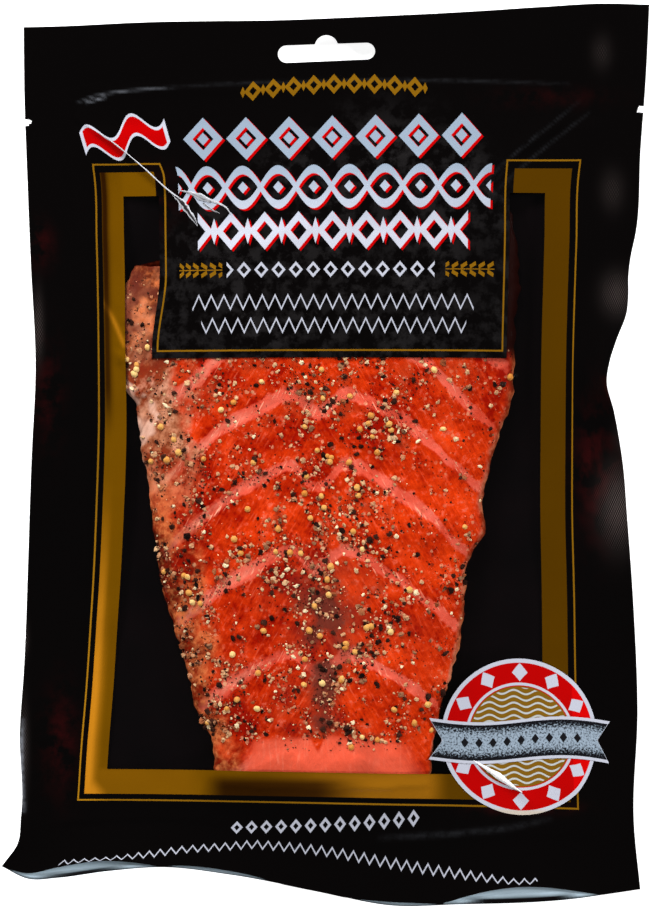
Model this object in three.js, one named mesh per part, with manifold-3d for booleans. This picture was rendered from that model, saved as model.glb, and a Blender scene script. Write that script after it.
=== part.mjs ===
// A flat vacuum pouch of smoked salmon, lying on its back with the printed side up.
// Units are millimetres. +X is the pouch's right, +Y runs to the header with the hang hole, +Z is up.
// Two pieces: the heat-sealed pouch, whose clear window is left open over the fish, and the fillet
// with the largest seeds and pepper of its crust. The clear film over the window is too thin to model here.
import * as THREE from "three";
import { mergeVertices } from "three/addons/utils/BufferGeometryUtils.js";
import Module from "manifold-3d";

const wasm = await Module();
wasm.setup();

// Driving dimensions of the pouch
const filmThickness = 0.6;
const pocketGap = 0.4; // free space between the fish and the film
const sealShare = { across: 0.1, along: 0.07 }; // width of the seals as a share of the pouch
const gridCells = { across: 18, along: 31 };
const tentReach = 9; // how far the film takes to come down beside the fish
const sealRidge = 0.7; // bulge of the film just inside the seals
const hangSlot = { x: 0.4, y: 133.8, length: 32.4, height: 5.8, humpRadius: 3.9, humpRise: 2, tilt: 2 };
const tearNotch = { depth: 2.6, height: 3.4, leftY: 110.6, rightY: 118.4 };

// Each side of the pouch's wavy outline, from its first corner to its last
const pouchOutline = {
  left: [
    [-100.4, 142.4], [-100.1, 118.4], [-99.1, 91.8], [-97.8, 61.8], [-96.1, 28.4], [-97.4, 1.8], [-98.8, -34.9],
    [-100.1, -71.6], [-101.4, -91.6], [-101.1, -119.9], [-103.1, -130.9], [-107.8, -136.9],
  ],
  right: [
    [107.8, 149.8], [106.6, 125.1], [104.9, 101.8], [102.9, 73.4], [100.3, 48.4], [94.6, 34.4], [93.1, 24.4],
    [95.6, 14.4], [98.3, 0.1], [100.3, -21.6], [102.3, -48.3], [103.9, -84.9], [102.6, -121.6], [104.9, -144.6],
  ],
  top: [
    [-100.4, 142.4], [-85.1, 142.8], [-61.8, 143.9], [-8.4, 144.8], [31.6, 146.4], [71.6, 149.1], [91.6, 150.2],
    [107.8, 149.8],
  ],
  bottom: [
    [-107.8, -136.9], [-99.1, -140.9], [-88.4, -140.6], [-71.8, -138.3], [-53.4, -136.9], [-31.8, -139.6],
    [-5.1, -144.9], [21.6, -150.1], [41.6, -149.6], [78.3, -147.9], [91.6, -146.3], [104.9, -144.6],
  ],
};

// How high the margin curls off the table: [share of the side, height]
const edgeLift = {
  left: [[0, 2], [0.12, 2.5], [0.28, 4], [0.41, 7], [0.5, 5.5], [0.65, 3.5], [0.8, 6], [0.92, 4.5], [1, 2]],
  right: [[0, 3], [0.15, 2.5], [0.28, 4.5], [0.42, 12], [0.5, 7.5], [0.62, 5], [0.78, 2.5], [0.9, 3.5], [1, 1.5]],
  top: [[0, 2], [0.2, 2.6], [0.5, 3], [0.8, 2.6], [1, 3]],
  bottom: [[0, 2], [0.1, 3.2], [0.27, 5], [0.42, 2.2], [0.6, 1.2], [0.8, 3], [1, 1.5]],
};

// Below the bottom seal the two films part in two places
const lips = [
  { x: -73, halfLength: 28, gap: 2.2, setback: 4.5 },
  { x: 62, halfLength: 27, gap: 1.8, setback: 3 },
];

// The fish: its outline, then its thickness
const filletOutline = {
  left: [
    [-65.1, 63.1], [-68.8, 51.8], [-69.4, 36.8], [-67.1, 22.4], [-63.4, 16.8], [-61.8, 3.4], [-59.1, -13.3],
    [-56.8, -29.9], [-55.1, -41.6], [-51.8, -54.3], [-47.1, -68.3], [-43.4, -84.3], [-38.1, -96.6], [-36.4, -109.3],
  ],
  right: [
    [57.3, 93.4], [62.9, 78.4], [64.6, 58.4], [63.6, 38.4], [62.6, 19.1], [57.3, 3.4], [52.9, -14.9], [53.3, -25.6],
    [48.3, -35.6], [45.9, -54.9], [42.6, -73.3], [39.9, -81.6], [36.9, -96.6], [35.3, -109.3],
  ],
  top: [[-65.1, 63.1], [-41.8, 69.8], [-25.1, 79.1], [-1.8, 91.1], [24.9, 98.1], [46.6, 97.8], [57.3, 93.4]],
  bottom: [[-36.4, -109.3], [-1, -110.3], [35.3, -109.3]],
};
const filletEdge = 3.2; // thickness at the rim
const filletCrown = [[0, 4.5], [0.08, 8.2], [0.25, 10.4], [0.55, 10.2], [0.8, 8.4], [0.95, 6.6], [1, 4.6]];
const thickSide = 0.56; // share of the width where the fillet is thickest
const muscleBands = { count: 8, rise: 38, depth: 0.55 }; // chevrons of flesh that point to the header
const lateralGroove = { width: 0.035, depth: 0.9 };

// The clear window and the printed panel that hangs into it
const clearWindow = { left: -67.4, right: 72, bottom: -105.3, top: 86 };
const labelPanel = { leftLow: -57.8, leftHigh: -54.8, right: 61.9, bottom: 32.2 };

// Crust on the fish: the largest pieces of each kind
const crust = [
  { name: "mustard", count: 52, radius: [1.05, 1.4], squash: 1 },
  { name: "pepper", count: 40, radius: [1.1, 1.9], squash: 0.7 },
  { name: "salt", count: 30, radius: [1, 1.8], squash: 0.75 },
];
const crustInset = 3;
const crustSpacing = 0.5;
const crustSeed = 11;

const colours = { pouch: 0x0d0b0b, fillet: 0xd2350f };

// Repeatable random numbers from 0 to 1
function seededRandom(seed) {
  let state = seed;
  return () => {
    state = (state + 0x6d2b79f5) | 0;
    let t = Math.imul(state ^ (state >>> 15), 1 | state);
    t = (t + Math.imul(t ^ (t >>> 7), 61 | t)) ^ t;
    return ((t ^ (t >>> 14)) >>> 0) / 4294967296;
  };
}

// Smooth value of a list of [share, value] pairs
function valueAlong(pairs, share) {
  const last = pairs.findIndex(([at]) => at >= share);
  if (last <= 0) return pairs[last < 0 ? pairs.length - 1 : 0][1];
  const [[from, low], [to, high]] = [pairs[last - 1], pairs[last]];
  return THREE.MathUtils.lerp(low, high, THREE.MathUtils.smoothstep(share, from, to));
}

const bump = (distance, reach) => Math.exp(-((distance / reach) ** 2));

// A surface patch between four side curves: (0, 0) is its top left and (1, 1) its bottom right
function patchBetween(sides, scale = 1) {
  const curves = Object.fromEntries(
    Object.entries(sides).map(([side, points]) => [
      side,
      new THREE.SplineCurve(points.map(([x, y]) => new THREE.Vector2(x * scale, y * scale))),
    ]),
  );
  const corner = (side, end) => curves[side].getPointAt(end);
  const corners = [corner("top", 0), corner("top", 1), corner("bottom", 0), corner("bottom", 1)];
  return (u, v) => {
    const weights = [-(1 - u) * (1 - v), -u * (1 - v), -(1 - u) * v, -u * v];
    const point = new THREE.Vector2()
      .addScaledVector(curves.top.getPointAt(u), 1 - v)
      .addScaledVector(curves.bottom.getPointAt(u), v)
      .addScaledVector(curves.left.getPointAt(v), 1 - u)
      .addScaledVector(curves.right.getPointAt(v), u);
    corners.forEach((place, i) => point.addScaledVector(place, weights[i]));
    return point;
  };
}

// The (u, v) places round a patch's rim, anticlockwise from its top left
function rimPlaces({ across, along }) {
  const places = [];
  for (let j = 0; j < along; j++) places.push({ u: 0, v: j / along, side: "left", share: j / along });
  for (let i = 0; i < across; i++) places.push({ u: i / across, v: 1, side: "bottom", share: i / across });
  for (let j = along; j > 0; j--) places.push({ u: 1, v: j / along, side: "right", share: j / along });
  for (let i = across; i > 0; i--) places.push({ u: i / across, v: 0, side: "top", share: i / across });
  return places;
}

// Collects points and faces into one closed geometry
class Builder {
  points = [];
  faces = [];

  point(x, y, z) {
    return this.points.push([x, y, z]) - 1;
  }

  quad(a, b, c, d) {
    this.faces.push([a, b, c], [a, c, d]);
  }

  // A grid over a patch, facing up. Returns its points by column and row
  grid(cells, place) {
    const ids = [];
    for (let i = 0; i <= cells.across; i++) {
      ids.push([]);
      for (let j = 0; j <= cells.along; j++) ids[i].push(this.point(...place(i / cells.across, j / cells.along)));
    }
    for (let i = 0; i < cells.across; i++)
      for (let j = 0; j < cells.along; j++)
        this.quad(ids[i][j], ids[i][j + 1], ids[i + 1][j + 1], ids[i + 1][j]);
    return ids;
  }

  // A band of faces between two loops of equal length, facing up when the second is the outer one
  band(inner, outer) {
    inner.forEach((_, i) => {
      const next = (i + 1) % inner.length;
      this.quad(inner[i], outer[i], outer[next], inner[next]);
    });
  }

  // Closes a flat loop with a face that looks down
  floor(loop) {
    const outline = loop.map((id) => new THREE.Vector2(this.points[id][0], this.points[id][1]));
    for (const [a, b, c] of THREE.ShapeUtils.triangulateShape(outline, []))
      this.faces.push([loop[c], loop[b], loop[a]]);
  }

  geometry() {
    const made = new THREE.BufferGeometry();
    made.setAttribute("position", new THREE.Float32BufferAttribute(this.points.flat(), 3));
    made.setIndex(this.faces.flat());
    return made;
  }
}

// The grid's points round its rim, in the order of rimPlaces
function rimOf(ids, { across, along }) {
  return rimPlaces({ across, along }).map(({ u, v }) => ids[Math.round(u * across)][Math.round(v * along)]);
}

function solidFrom(geometry) {
  const bare = geometry.clone();
  bare.deleteAttribute("normal");
  bare.deleteAttribute("uv");
  const merged = mergeVertices(bare, 1e-4);
  return new wasm.Manifold(
    new wasm.Mesh({
      numProp: 3,
      vertProperties: merged.attributes.position.array,
      triVerts: new Uint32Array(merged.index.array),
    }),
  );
}

function geometryFrom(solid) {
  const made = solid.getMesh();
  const geometry = new THREE.BufferGeometry();
  geometry.setAttribute("position", new THREE.BufferAttribute(made.vertProperties.slice(), 3));
  geometry.setIndex(new THREE.BufferAttribute(made.triVerts.slice(), 1));
  return geometry;
}

function prism(outline, low, high) {
  const shape = new THREE.Shape(outline.map(([x, y]) => new THREE.Vector2(x, y)));
  const made = new THREE.ExtrudeGeometry(shape, { depth: high - low, bevelEnabled: false });
  return made.translate(0, 0, low);
}

// Height of the fish's smooth top above its skin side, over its patch
function filletSwell(u, v) {
  const crown = valueAlong(filletCrown, v);
  const warped = u < thickSide ? (0.5 * u) / thickSide : 1 - (0.5 * (1 - u)) / (1 - thickSide);
  return filletEdge + crown * (1 - Math.abs(2 * warped - 1) ** 2.4) ** 0.75;
}

// The same with its sunken chevrons of flesh and the groove down its middle
function filletHeight(u, v) {
  const inside = Math.min(1, 8 * Math.min(u, 1 - u), 14 * Math.min(v, 1 - v));
  const phase = (v * filletLength - muscleBands.rise * Math.abs(u - 0.5)) / (filletLength / muscleBands.count);
  const relief = muscleBands.depth * (0.5 - 0.5 * Math.cos(2 * Math.PI * phase)) * inside;
  const groove = lateralGroove.depth * bump(u - 0.53, lateralGroove.width) * inside;
  return filletSwell(u, v) - relief - groove;
}

const filletLength = 200;
const filletBase = filmThickness + pocketGap;
const filletHalfWidth = 50;
const filletPatch = patchBetween(filletOutline);
const pocketPatch = patchBetween(filletOutline, 1 + pocketGap / filletHalfWidth);
const pouchPatch = patchBetween(pouchOutline);

// A block that stands on a flat floor, with the fish's plan and a given top
function blockOver(patch, cells, floorHeight, topAt) {
  const block = new Builder();
  const ids = block.grid(cells, (u, v) => {
    const place = patch(u, v);
    return [place.x, place.y, topAt(u, v)];
  });
  const rim = rimOf(ids, cells);
  const foot = rim.map((id) => block.point(block.points[id][0], block.points[id][1], floorHeight));
  block.band(rim, foot);
  block.floor(foot);
  return block.geometry();
}

// Rings of the pouch from the pocket's rim out to its edge: share of the way to the seal, then across it
const ringSteps = [
  [0.07, 0], [0.17, 0], [0.3, 0], [0.55, 0], [0.85, 0], [1, 0.05], [1, 0.4], [1, 0.75], [1, 1],
];

function lipAt(x) {
  const near = lips.find((lip) => Math.abs(x - lip.x) < lip.halfLength);
  if (!near) return { gap: 0, setback: 0 };
  const share = Math.cos((0.5 * Math.PI * (x - near.x)) / near.halfLength);
  return { gap: near.gap * share, setback: near.setback * share };
}

// Every ring's places: position, height of the back film and height of the front film
function pouchRings() {
  return ringSteps.map(([inward, outward]) =>
    rimPlaces(gridCells).map(({ u, v, side, share }) => {
      const start = pocketPatch(u, v);
      const seal = pouchPatch(
        THREE.MathUtils.lerp(sealShare.across, 1 - sealShare.across, u),
        THREE.MathUtils.lerp(sealShare.along, 1 - sealShare.along, v),
      );
      const edge = pouchPatch(u, v);
      const place = start.clone().lerp(seal, inward).lerp(edge, outward);
      const away = place.distanceTo(start);
      const progress = away / edge.distanceTo(start);
      const low = valueAlong(edgeLift[side], share) * progress ** 2;
      const tent = 1 - THREE.MathUtils.smoothstep(away, 0, tentReach);
      const ridge = outward === 0 ? sealRidge * bump(place.distanceTo(seal) - 4, 3) : 0;
      const lip = side === "bottom" ? lipAt(edge.x) : { gap: 0, setback: 0 };
      const rim = filletBase + filletSwell(u, v) + pocketGap + filmThickness;
      const bare = low + 2 * filmThickness + ridge + lip.gap * outward ** 2;
      return { x: place.x, y: place.y, low, high: THREE.MathUtils.lerp(bare, rim, tent), lip, outward };
    }),
  );
}

// The pouch's outer form, closed all round
function pouchBody(rings) {
  const body = new Builder();
  const ids = body.grid(gridCells, (u, v) => {
    const place = pocketPatch(u, v);
    return [place.x, place.y, filletBase + filletSwell(u, v) + pocketGap + filmThickness];
  });
  const rim = rimOf(ids, gridCells);
  const tops = rings.map((ring) => ring.map((p) => body.point(p.x, p.y + p.lip.setback * p.outward ** 4, p.high)));
  [rim, ...tops].slice(0, -1).forEach((loop, i) => body.band(loop, tops[i]));
  const bottoms = rings.map((ring) => ring.map((p) => body.point(p.x, p.y, p.low)));
  body.band(tops.at(-1), bottoms.at(-1));
  for (let i = bottoms.length - 1; i > 0; i--) body.band(bottoms[i], bottoms[i - 1]);
  const foot = rim.map((id) => body.point(body.points[id][0], body.points[id][1], 0));
  body.band(bottoms[0], foot);
  body.floor(foot);
  return solidFrom(body.geometry());
}

// The wedge of air between the parted films along one lip
function lipWedge(rings, lip) {
  const wedge = new Builder();
  const rows = rings.slice(-2).map((ring) => ring.filter((p) => p.lip.gap > 0 && Math.abs(p.x - lip.x) < lip.halfLength));
  const beyond = rows[1].map((p) => ({ ...p, y: p.y - 6 }));
  const layers = [rows[0], rows[1], beyond];
  const level = (pick) => layers.map((row) => row.map((p) => wedge.point(p.x, p.y + 1, pick(p))));
  const under = level((p) => p.low + filmThickness);
  const over = level((p) => Math.max(p.high - filmThickness, p.low + filmThickness + 0.05));
  for (let row = 0; row < 2; row++)
    for (let i = 0; i + 1 < rows[0].length; i++) {
      const [a, b] = [row, row + 1];
      wedge.quad(over[a][i], over[b][i], over[b][i + 1], over[a][i + 1]);
      wedge.quad(under[a][i + 1], under[b][i + 1], under[b][i], under[a][i]);
    }
  const last = rows[0].length - 1;
  for (let row = 0; row < 2; row++) {
    wedge.quad(over[row][0], under[row][0], under[row + 1][0], over[row + 1][0]);
    wedge.quad(over[row + 1][last], under[row + 1][last], under[row][last], over[row][last]);
  }
  for (let i = 0; i < last; i++) {
    wedge.quad(over[0][i + 1], under[0][i + 1], under[0][i], over[0][i]);
    wedge.quad(over[2][i], under[2][i], under[2][i + 1], over[2][i + 1]);
  }
  return solidFrom(wedge.geometry());
}

// The hang hole: a slot with round ends and a hump for a round peg
function hangHole() {
  const { length, height, humpRadius, humpRise, tilt, x, y } = hangSlot;
  const end = height / 2;
  const reach = length / 2 - end;
  const shape = new THREE.Shape();
  shape.absarc(-reach, 0, end, Math.PI / 2, 1.5 * Math.PI);
  shape.absarc(reach, 0, end, -Math.PI / 2, Math.PI / 2);
  shape.absarc(0, humpRise, humpRadius, Math.PI * 0.12, Math.PI * 0.88);
  const made = new THREE.ExtrudeGeometry(shape, { depth: 30, bevelEnabled: false, curveSegments: 8 });
  made.rotateZ(THREE.MathUtils.degToRad(tilt)).translate(x, y, -5);
  return solidFrom(made);
}

// A small notch in a side edge, to start the tear
function notchAt(y, side) {
  const spread = 20;
  const edge = side * 102;
  const points = [[edge + side * spread, y + tearNotch.height], [edge + side * spread, y - tearNotch.height]];
  const shore = pouchOutline[side < 0 ? "left" : "right"].reduce((a, b) => (Math.abs(b[1] - y) < Math.abs(a[1] - y) ? b : a))[0];
  points.push([shore - side * tearNotch.depth * 0.4, y - tearNotch.height / 2]);
  points.push([shore - side * tearNotch.depth, y]);
  points.push([shore - side * tearNotch.depth * 0.4, y + tearNotch.height / 2]);
  if (side < 0) points.reverse();
  return solidFrom(prism(points.reverse(), -5, 25));
}

// A crease: a thin pointed crest that follows the film between two places
function creaseOn(surface, crease) {
  const made = new Builder();
  const steps = 14;
  const [from, to] = [new THREE.Vector2(...crease.from), new THREE.Vector2(...crease.to)];
  const along = to.clone().sub(from).normalize();
  const side = new THREE.Vector2(-along.y, along.x);
  const sections = [];
  for (let i = 0; i <= steps; i++) {
    const share = i / steps;
    const middle = from.clone().lerp(to, share).addScaledVector(side, crease.bow * Math.sin(Math.PI * share));
    const size = Math.sin(Math.PI * THREE.MathUtils.clamp(share, 0.03, 0.97)) ** 0.6;
    const left = middle.clone().addScaledVector(side, (crease.width / 2) * size);
    const right = middle.clone().addScaledVector(side, (-crease.width / 2) * size);
    sections.push([
      made.point(left.x, left.y, surface(left.x, left.y) - 0.45),
      made.point(right.x, right.y, surface(right.x, right.y) - 0.45),
      made.point(middle.x, middle.y, surface(middle.x, middle.y) + crease.height * size),
    ]);
  }
  for (let i = 0; i < steps; i++)
    for (let k = 0; k < 3; k++) {
      const next = (k + 1) % 3;
      made.quad(sections[i][next], sections[i][k], sections[i + 1][k], sections[i + 1][next]);
    }
  made.faces.push([sections[0][0], sections[0][1], sections[0][2]]);
  made.faces.push([sections[steps][2], sections[steps][1], sections[steps][0]]);
  return solidFrom(made.geometry());
}

const creases = [
  { from: [-78, 117], to: [-38, 76], width: 3, height: 1.9, bow: -1.5 },
  { from: [-44, 84], to: [-27, 73], width: 2.6, height: 1.3, bow: 1.5 },
  { from: [80, 122], to: [52, 99], width: 3, height: 1, bow: 1 },
];

// Height of a geometry's top at (x, y)
function heightReader(geometry) {
  const mesh = new THREE.Mesh(geometry, new THREE.MeshBasicMaterial({ side: THREE.DoubleSide }));
  mesh.updateMatrixWorld(true);
  const ray = new THREE.Raycaster();
  return (x, y) => {
    ray.set(new THREE.Vector3(x, y, 60), new THREE.Vector3(0, 0, -1));
    return ray.intersectObject(mesh)[0].point.z;
  };
}

function makePouch() {
  const rings = pouchRings();
  let pouch = pouchBody(rings);
  const surface = heightReader(geometryFrom(pouch));
  for (const crease of creases) pouch = pouch.add(creaseOn(surface, crease));
  const roof = (u, v) => filletBase + filletSwell(u, v) + pocketGap;
  pouch = pouch.subtract(solidFrom(blockOver(pocketPatch, gridCells, filmThickness, roof)));
  const { left, right, bottom, top } = clearWindow;
  const pane = solidFrom(prism([[left, bottom], [right, bottom], [right, top], [left, top]], filmThickness, 40));
  const panel = solidFrom(
    prism(
      [
        [labelPanel.leftLow, labelPanel.bottom], [labelPanel.right, labelPanel.bottom],
        [labelPanel.right, top + 10], [labelPanel.leftHigh, top + 10],
      ],
      0, 45,
    ),
  );
  const overFish = solidFrom(blockOver(pocketPatch, gridCells, filmThickness, () => 35));
  pouch = pouch.subtract(pane.subtract(panel).intersect(overFish));
  for (const lip of lips) pouch = pouch.subtract(lipWedge(rings, lip));
  pouch = pouch.subtract(hangHole());
  return pouch.subtract(notchAt(tearNotch.leftY, -1)).subtract(notchAt(tearNotch.rightY, 1));
}

// True where the crust shows and clears the film
function crustShows(x, y) {
  const inWindow = x > clearWindow.left + crustInset && x < clearWindow.right && y > clearWindow.bottom + crustInset;
  const underPanel = y > labelPanel.bottom - crustInset && x > labelPanel.leftLow - crustInset;
  return inWindow && !underPanel && y < clearWindow.top;
}

// The crust lies thickest down the middle of the fish and at its lower left
function crustDensity(x, y) {
  const middle = bump(x - 0.02 * y, 26);
  const lowerLeft = bump(x + 25, 24) * THREE.MathUtils.smoothstep(-y, -10, 50);
  return 0.3 + 0.7 * Math.max(middle, lowerLeft);
}

function grainSolid(kind, radius, random) {
  const round = kind.name === "mustard";
  const made = round ? new THREE.SphereGeometry(radius, 6, 4) : new THREE.IcosahedronGeometry(radius, 0);
  made.scale(1, THREE.MathUtils.lerp(kind.squash, 1, random()), kind.squash);
  made.rotateX(random() * 3).rotateY(random() * 3).rotateZ(random() * 6);
  return made;
}

function makeFillet() {
  const random = seededRandom(crustSeed);
  let fillet = solidFrom(blockOver(filletPatch, gridCells, filletBase, (u, v) => filletBase + filletHeight(u, v)));
  const placed = [];
  for (const kind of crust) {
    let left = kind.count;
    while (left > 0) {
      const [u, v] = [0.04 + 0.92 * random(), 0.15 + 0.82 * random()];
      const radius = THREE.MathUtils.lerp(...kind.radius, random());
      const { x, y } = filletPatch(u, v);
      const free = placed.every((other) => Math.hypot(other.x - x, other.y - y) > other.radius + radius + crustSpacing);
      if (!free || !crustShows(x, y) || random() > crustDensity(x, y)) continue;
      placed.push({ x, y, radius });
      const grain = grainSolid(kind, radius, random);
      grain.translate(x, y, filletBase + filletHeight(u, v) + 0.1 * radius);
      fillet = fillet.add(solidFrom(grain));
      left--;
    }
  }
  return fillet;
}

function namedMesh(name, solid, roughness) {
  const material = new THREE.MeshStandardMaterial({ color: colours[name], roughness, metalness: 0 });
  const mesh = new THREE.Mesh(geometryFrom(solid), material);
  mesh.name = name;
  return mesh;
}

const pack = new THREE.Group();
pack.add(namedMesh("pouch", makePouch(), 0.25), namedMesh("fillet", makeFillet(), 0.4));

// The pack's own frame: its middle in plan, and the table under it
const bounds = new THREE.Box3().setFromObject(pack);
const middle = bounds.getCenter(new THREE.Vector3());
pack.position.set(-middle.x, -middle.y, -bounds.min.z);

const part = new THREE.Group();
part.add(pack);

export default part;
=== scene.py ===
import math
import bpy
import numpy as np
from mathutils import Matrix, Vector


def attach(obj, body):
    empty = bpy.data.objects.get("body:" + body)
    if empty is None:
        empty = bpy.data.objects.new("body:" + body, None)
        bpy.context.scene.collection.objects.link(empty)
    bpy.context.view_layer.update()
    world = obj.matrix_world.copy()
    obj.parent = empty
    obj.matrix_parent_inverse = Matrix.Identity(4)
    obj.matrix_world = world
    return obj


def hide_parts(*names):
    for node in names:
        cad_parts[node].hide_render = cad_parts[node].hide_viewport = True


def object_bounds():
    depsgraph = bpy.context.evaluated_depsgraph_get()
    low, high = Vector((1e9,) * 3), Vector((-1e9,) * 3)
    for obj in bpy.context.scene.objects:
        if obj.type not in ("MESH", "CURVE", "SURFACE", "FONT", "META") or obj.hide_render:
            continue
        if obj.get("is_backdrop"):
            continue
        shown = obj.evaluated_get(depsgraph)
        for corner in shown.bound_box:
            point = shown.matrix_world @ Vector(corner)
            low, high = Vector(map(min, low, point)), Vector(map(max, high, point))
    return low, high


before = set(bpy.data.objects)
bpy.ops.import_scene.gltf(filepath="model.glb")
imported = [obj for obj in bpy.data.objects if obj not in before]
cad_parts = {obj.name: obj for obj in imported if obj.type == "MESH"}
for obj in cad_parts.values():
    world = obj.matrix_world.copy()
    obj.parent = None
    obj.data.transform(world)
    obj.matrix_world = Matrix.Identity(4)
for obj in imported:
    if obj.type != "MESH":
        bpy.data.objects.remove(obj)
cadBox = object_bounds()
print("frame loaded", cadBox)

mm = 0.001


# Curves and noise

def throughKnots(at, knots):
    # Cubic through (place, value) knots; the slope at a knot is that of its neighbours.
    places, values = np.array(sorted(knots), float).T
    slopes = np.gradient(values, places)
    left = np.clip(np.searchsorted(places, at) - 1, 0, len(places) - 2)
    span = places[left + 1] - places[left]
    share = np.clip((at - places[left]) / span, 0, 1)
    rest = 1 - share
    return (values[left] * (1 + 2 * share) * rest**2 + values[left + 1] * (3 - 2 * share) * share**2
            + span * share * rest * (slopes[left] * rest - slopes[left + 1] * share))


def smoothStep(value, low, high):
    # 3t^2 - 2t^3 with t running from 0 at low to 1 at high.
    share = np.clip((value - low) / (high - low), 0, 1)
    return share * share * (3 - 2 * share)


def bell(value, middle, width):
    # exp(-d^2) with d the distance from the middle in widths.
    return np.exp(-((value - middle) / width) ** 2)


def easedKnots(at, knots):
    # Smooth steps from each (place, value) knot to the next.
    places, values = np.array(knots, float).T
    left = np.clip(np.searchsorted(places, at) - 1, 0, len(places) - 2)
    share = smoothStep(at, places[left], places[left + 1])
    return values[left] + (values[left + 1] - values[left]) * share


def softNoise(x, y, cell, seed):
    # Random values from -1 to 1 on a lattice of square cells, joined by smooth steps.
    lattice = np.random.default_rng(seed).uniform(-1, 1, (64, 64))
    gx, gy = np.asarray(x) / cell + 640.0, np.asarray(y) / cell + 640.0
    ix, iy = np.floor(gx).astype(int), np.floor(gy).astype(int)
    fx, fy = smoothStep(gx - ix, 0, 1), smoothStep(gy - iy, 0, 1)
    corner = lambda a, b: lattice[(ix + a) % 64, (iy + b) % 64]
    low = corner(0, 0) * (1 - fx) + corner(1, 0) * fx
    high = corner(0, 1) * (1 - fx) + corner(1, 1) * fx
    return low * (1 - fy) + high * fy


def curveAt(points, share):
    # Catmull-Rom curve through the points, read at a share of its own length.
    points = np.array(points, float)
    along = np.linspace(0, len(points) - 1, 601)
    start = np.minimum(along.astype(int), len(points) - 2)
    t = (along - start)[:, None]
    p0, p1, p2, p3 = (points[np.clip(start + k, 0, len(points) - 1)] for k in (-1, 0, 1, 2))
    curve = (p1 + 0.5 * t * (p2 - p0) + t**2 * (p0 - 2.5 * p1 + 2 * p2 - 0.5 * p3)
             + t**3 * (1.5 * (p1 - p2) + 0.5 * (p3 - p0)))
    length = np.append(0, np.cumsum(np.linalg.norm(np.diff(curve, axis=0), axis=1)))
    want = np.asarray(share) * length[-1]
    return np.stack([np.interp(want, length, curve[:, k]) for k in (0, 1)], -1)


# Meshes from arrays

def gridFaces(across, along, keep=None):
    # Quads of a grid of across x along points, anticlockwise from above when rows run downwards.
    ids = np.arange(across * along).reshape(across, along)
    quads = np.stack([ids[:-1, :-1], ids[:-1, 1:], ids[1:, 1:], ids[1:, :-1]], -1)
    return quads.reshape(-1, 4) if keep is None else quads[keep]


def buildPiece(name, points, faces, material, fields=None, smooth=True):
    # Points in millimetres and equal-sized faces become one mesh; points without a face are dropped.
    shape = faces.shape
    used, flat = np.unique(faces.ravel(), return_inverse=True)
    flat = flat.ravel().astype(np.int32)
    mesh = bpy.data.meshes.new(name)
    mesh.vertices.add(len(used))
    mesh.vertices.foreach_set("co", (points[used] * mm).astype(np.float32).ravel())
    mesh.loops.add(len(flat))
    mesh.loops.foreach_set("vertex_index", flat)
    mesh.polygons.add(shape[0])
    mesh.polygons.foreach_set("loop_start", np.arange(0, len(flat), shape[1], dtype=np.int32))
    mesh.polygons.foreach_set("use_smooth", np.full(shape[0], smooth))
    for field, values in (fields or {}).items():
        values = np.asarray(values, np.float32)[used]
        if values.ndim == 1:
            mesh.attributes.new(field, "FLOAT", "POINT").data.foreach_set("value", values)
        else:
            mesh.attributes.new(field, "FLOAT_VECTOR", "POINT").data.foreach_set("vector", values.ravel())
    mesh.update(calc_edges=True)
    mesh.validate()
    mesh.materials.append(material)
    piece = bpy.data.objects.new(name, mesh)
    bpy.context.scene.collection.objects.link(piece)
    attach(piece, "root")
    print(name, "faces", shape[0])
    return piece


# Arithmetic in node trees

def newNode(tree, kind, **settings):
    made = tree.nodes.new(kind)
    for name, value in settings.items():
        setattr(made, name, value)
    return made


def feed(node, values):
    # Each wire, socket, colour or number goes into the node's socket of that name or place.
    for name, value in values.items():
        socket = node.inputs[name]
        if isinstance(value, Wire):
            value = value.socket
        if isinstance(value, bpy.types.NodeSocket):
            node.id_data.links.new(value, socket)
        elif socket.type == "RGBA":
            socket.default_value = (*value, 1)
        else:
            socket.default_value = value


def joined(operation):
    # A method that joins a wire with another wire or a number
    return lambda wire, other: wire.do(operation, other)


class Wire:
    # A number in a node tree, used in plain arithmetic: each sum or product becomes a Math node.
    def __init__(self, tree, socket):
        self.tree, self.socket = tree, socket

    def do(self, operation, *others, clamp=False):
        made = newNode(self.tree, "ShaderNodeMath", operation=operation, use_clamp=clamp)
        feed(made, dict(enumerate((self,) + others)))
        return Wire(self.tree, made.outputs[0])

    __add__ = joined("ADD")
    __sub__ = joined("SUBTRACT")
    __mul__ = joined("MULTIPLY")
    __truediv__ = joined("DIVIDE")
    highest = joined("MAXIMUM")
    lowest = joined("MINIMUM")

    def __neg__(self):
        return self * -1.0

    def __rsub__(self, other):
        return -self + other

    def __abs__(self):
        return self.do("ABSOLUTE")

    def clamped(self):
        return self.do("ADD", 0.0, clamp=True)

    def above(self, level, gain):
        # 0 up to the level, then rising to 1 at a slope of gain
        return ((self - level) * gain).clamped()

    def inside(self, soft=0.12):
        # 1 where a distance is below zero, with an edge as wide as soft
        return self.do("MULTIPLY_ADD", -1.0 / soft, 0.5, clamp=True)

    def celled(self, width):
        # Distance from the middle of the cell that a place falls in, with cells of one width
        return self.do("WRAP", width / 2, -width / 2)

    def wave(self, period):
        # Sine of a place, one wave to a period
        return (self * (2 * math.pi / period)).do("SINE")


def readField(tree, name):
    return newNode(tree, "ShaderNodeAttribute", attribute_name=name).outputs["Vector"]


def readMasks(tree, *names):
    found = [newNode(tree, "ShaderNodeAttribute", attribute_name=name) for name in names]
    return [Wire(tree, node.outputs["Fac"]) for node in found]


def splitField(tree, socket):
    parts = newNode(tree, "ShaderNodeSeparateXYZ")
    feed(parts, {0: socket})
    return [Wire(tree, output) for output in parts.outputs]


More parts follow.
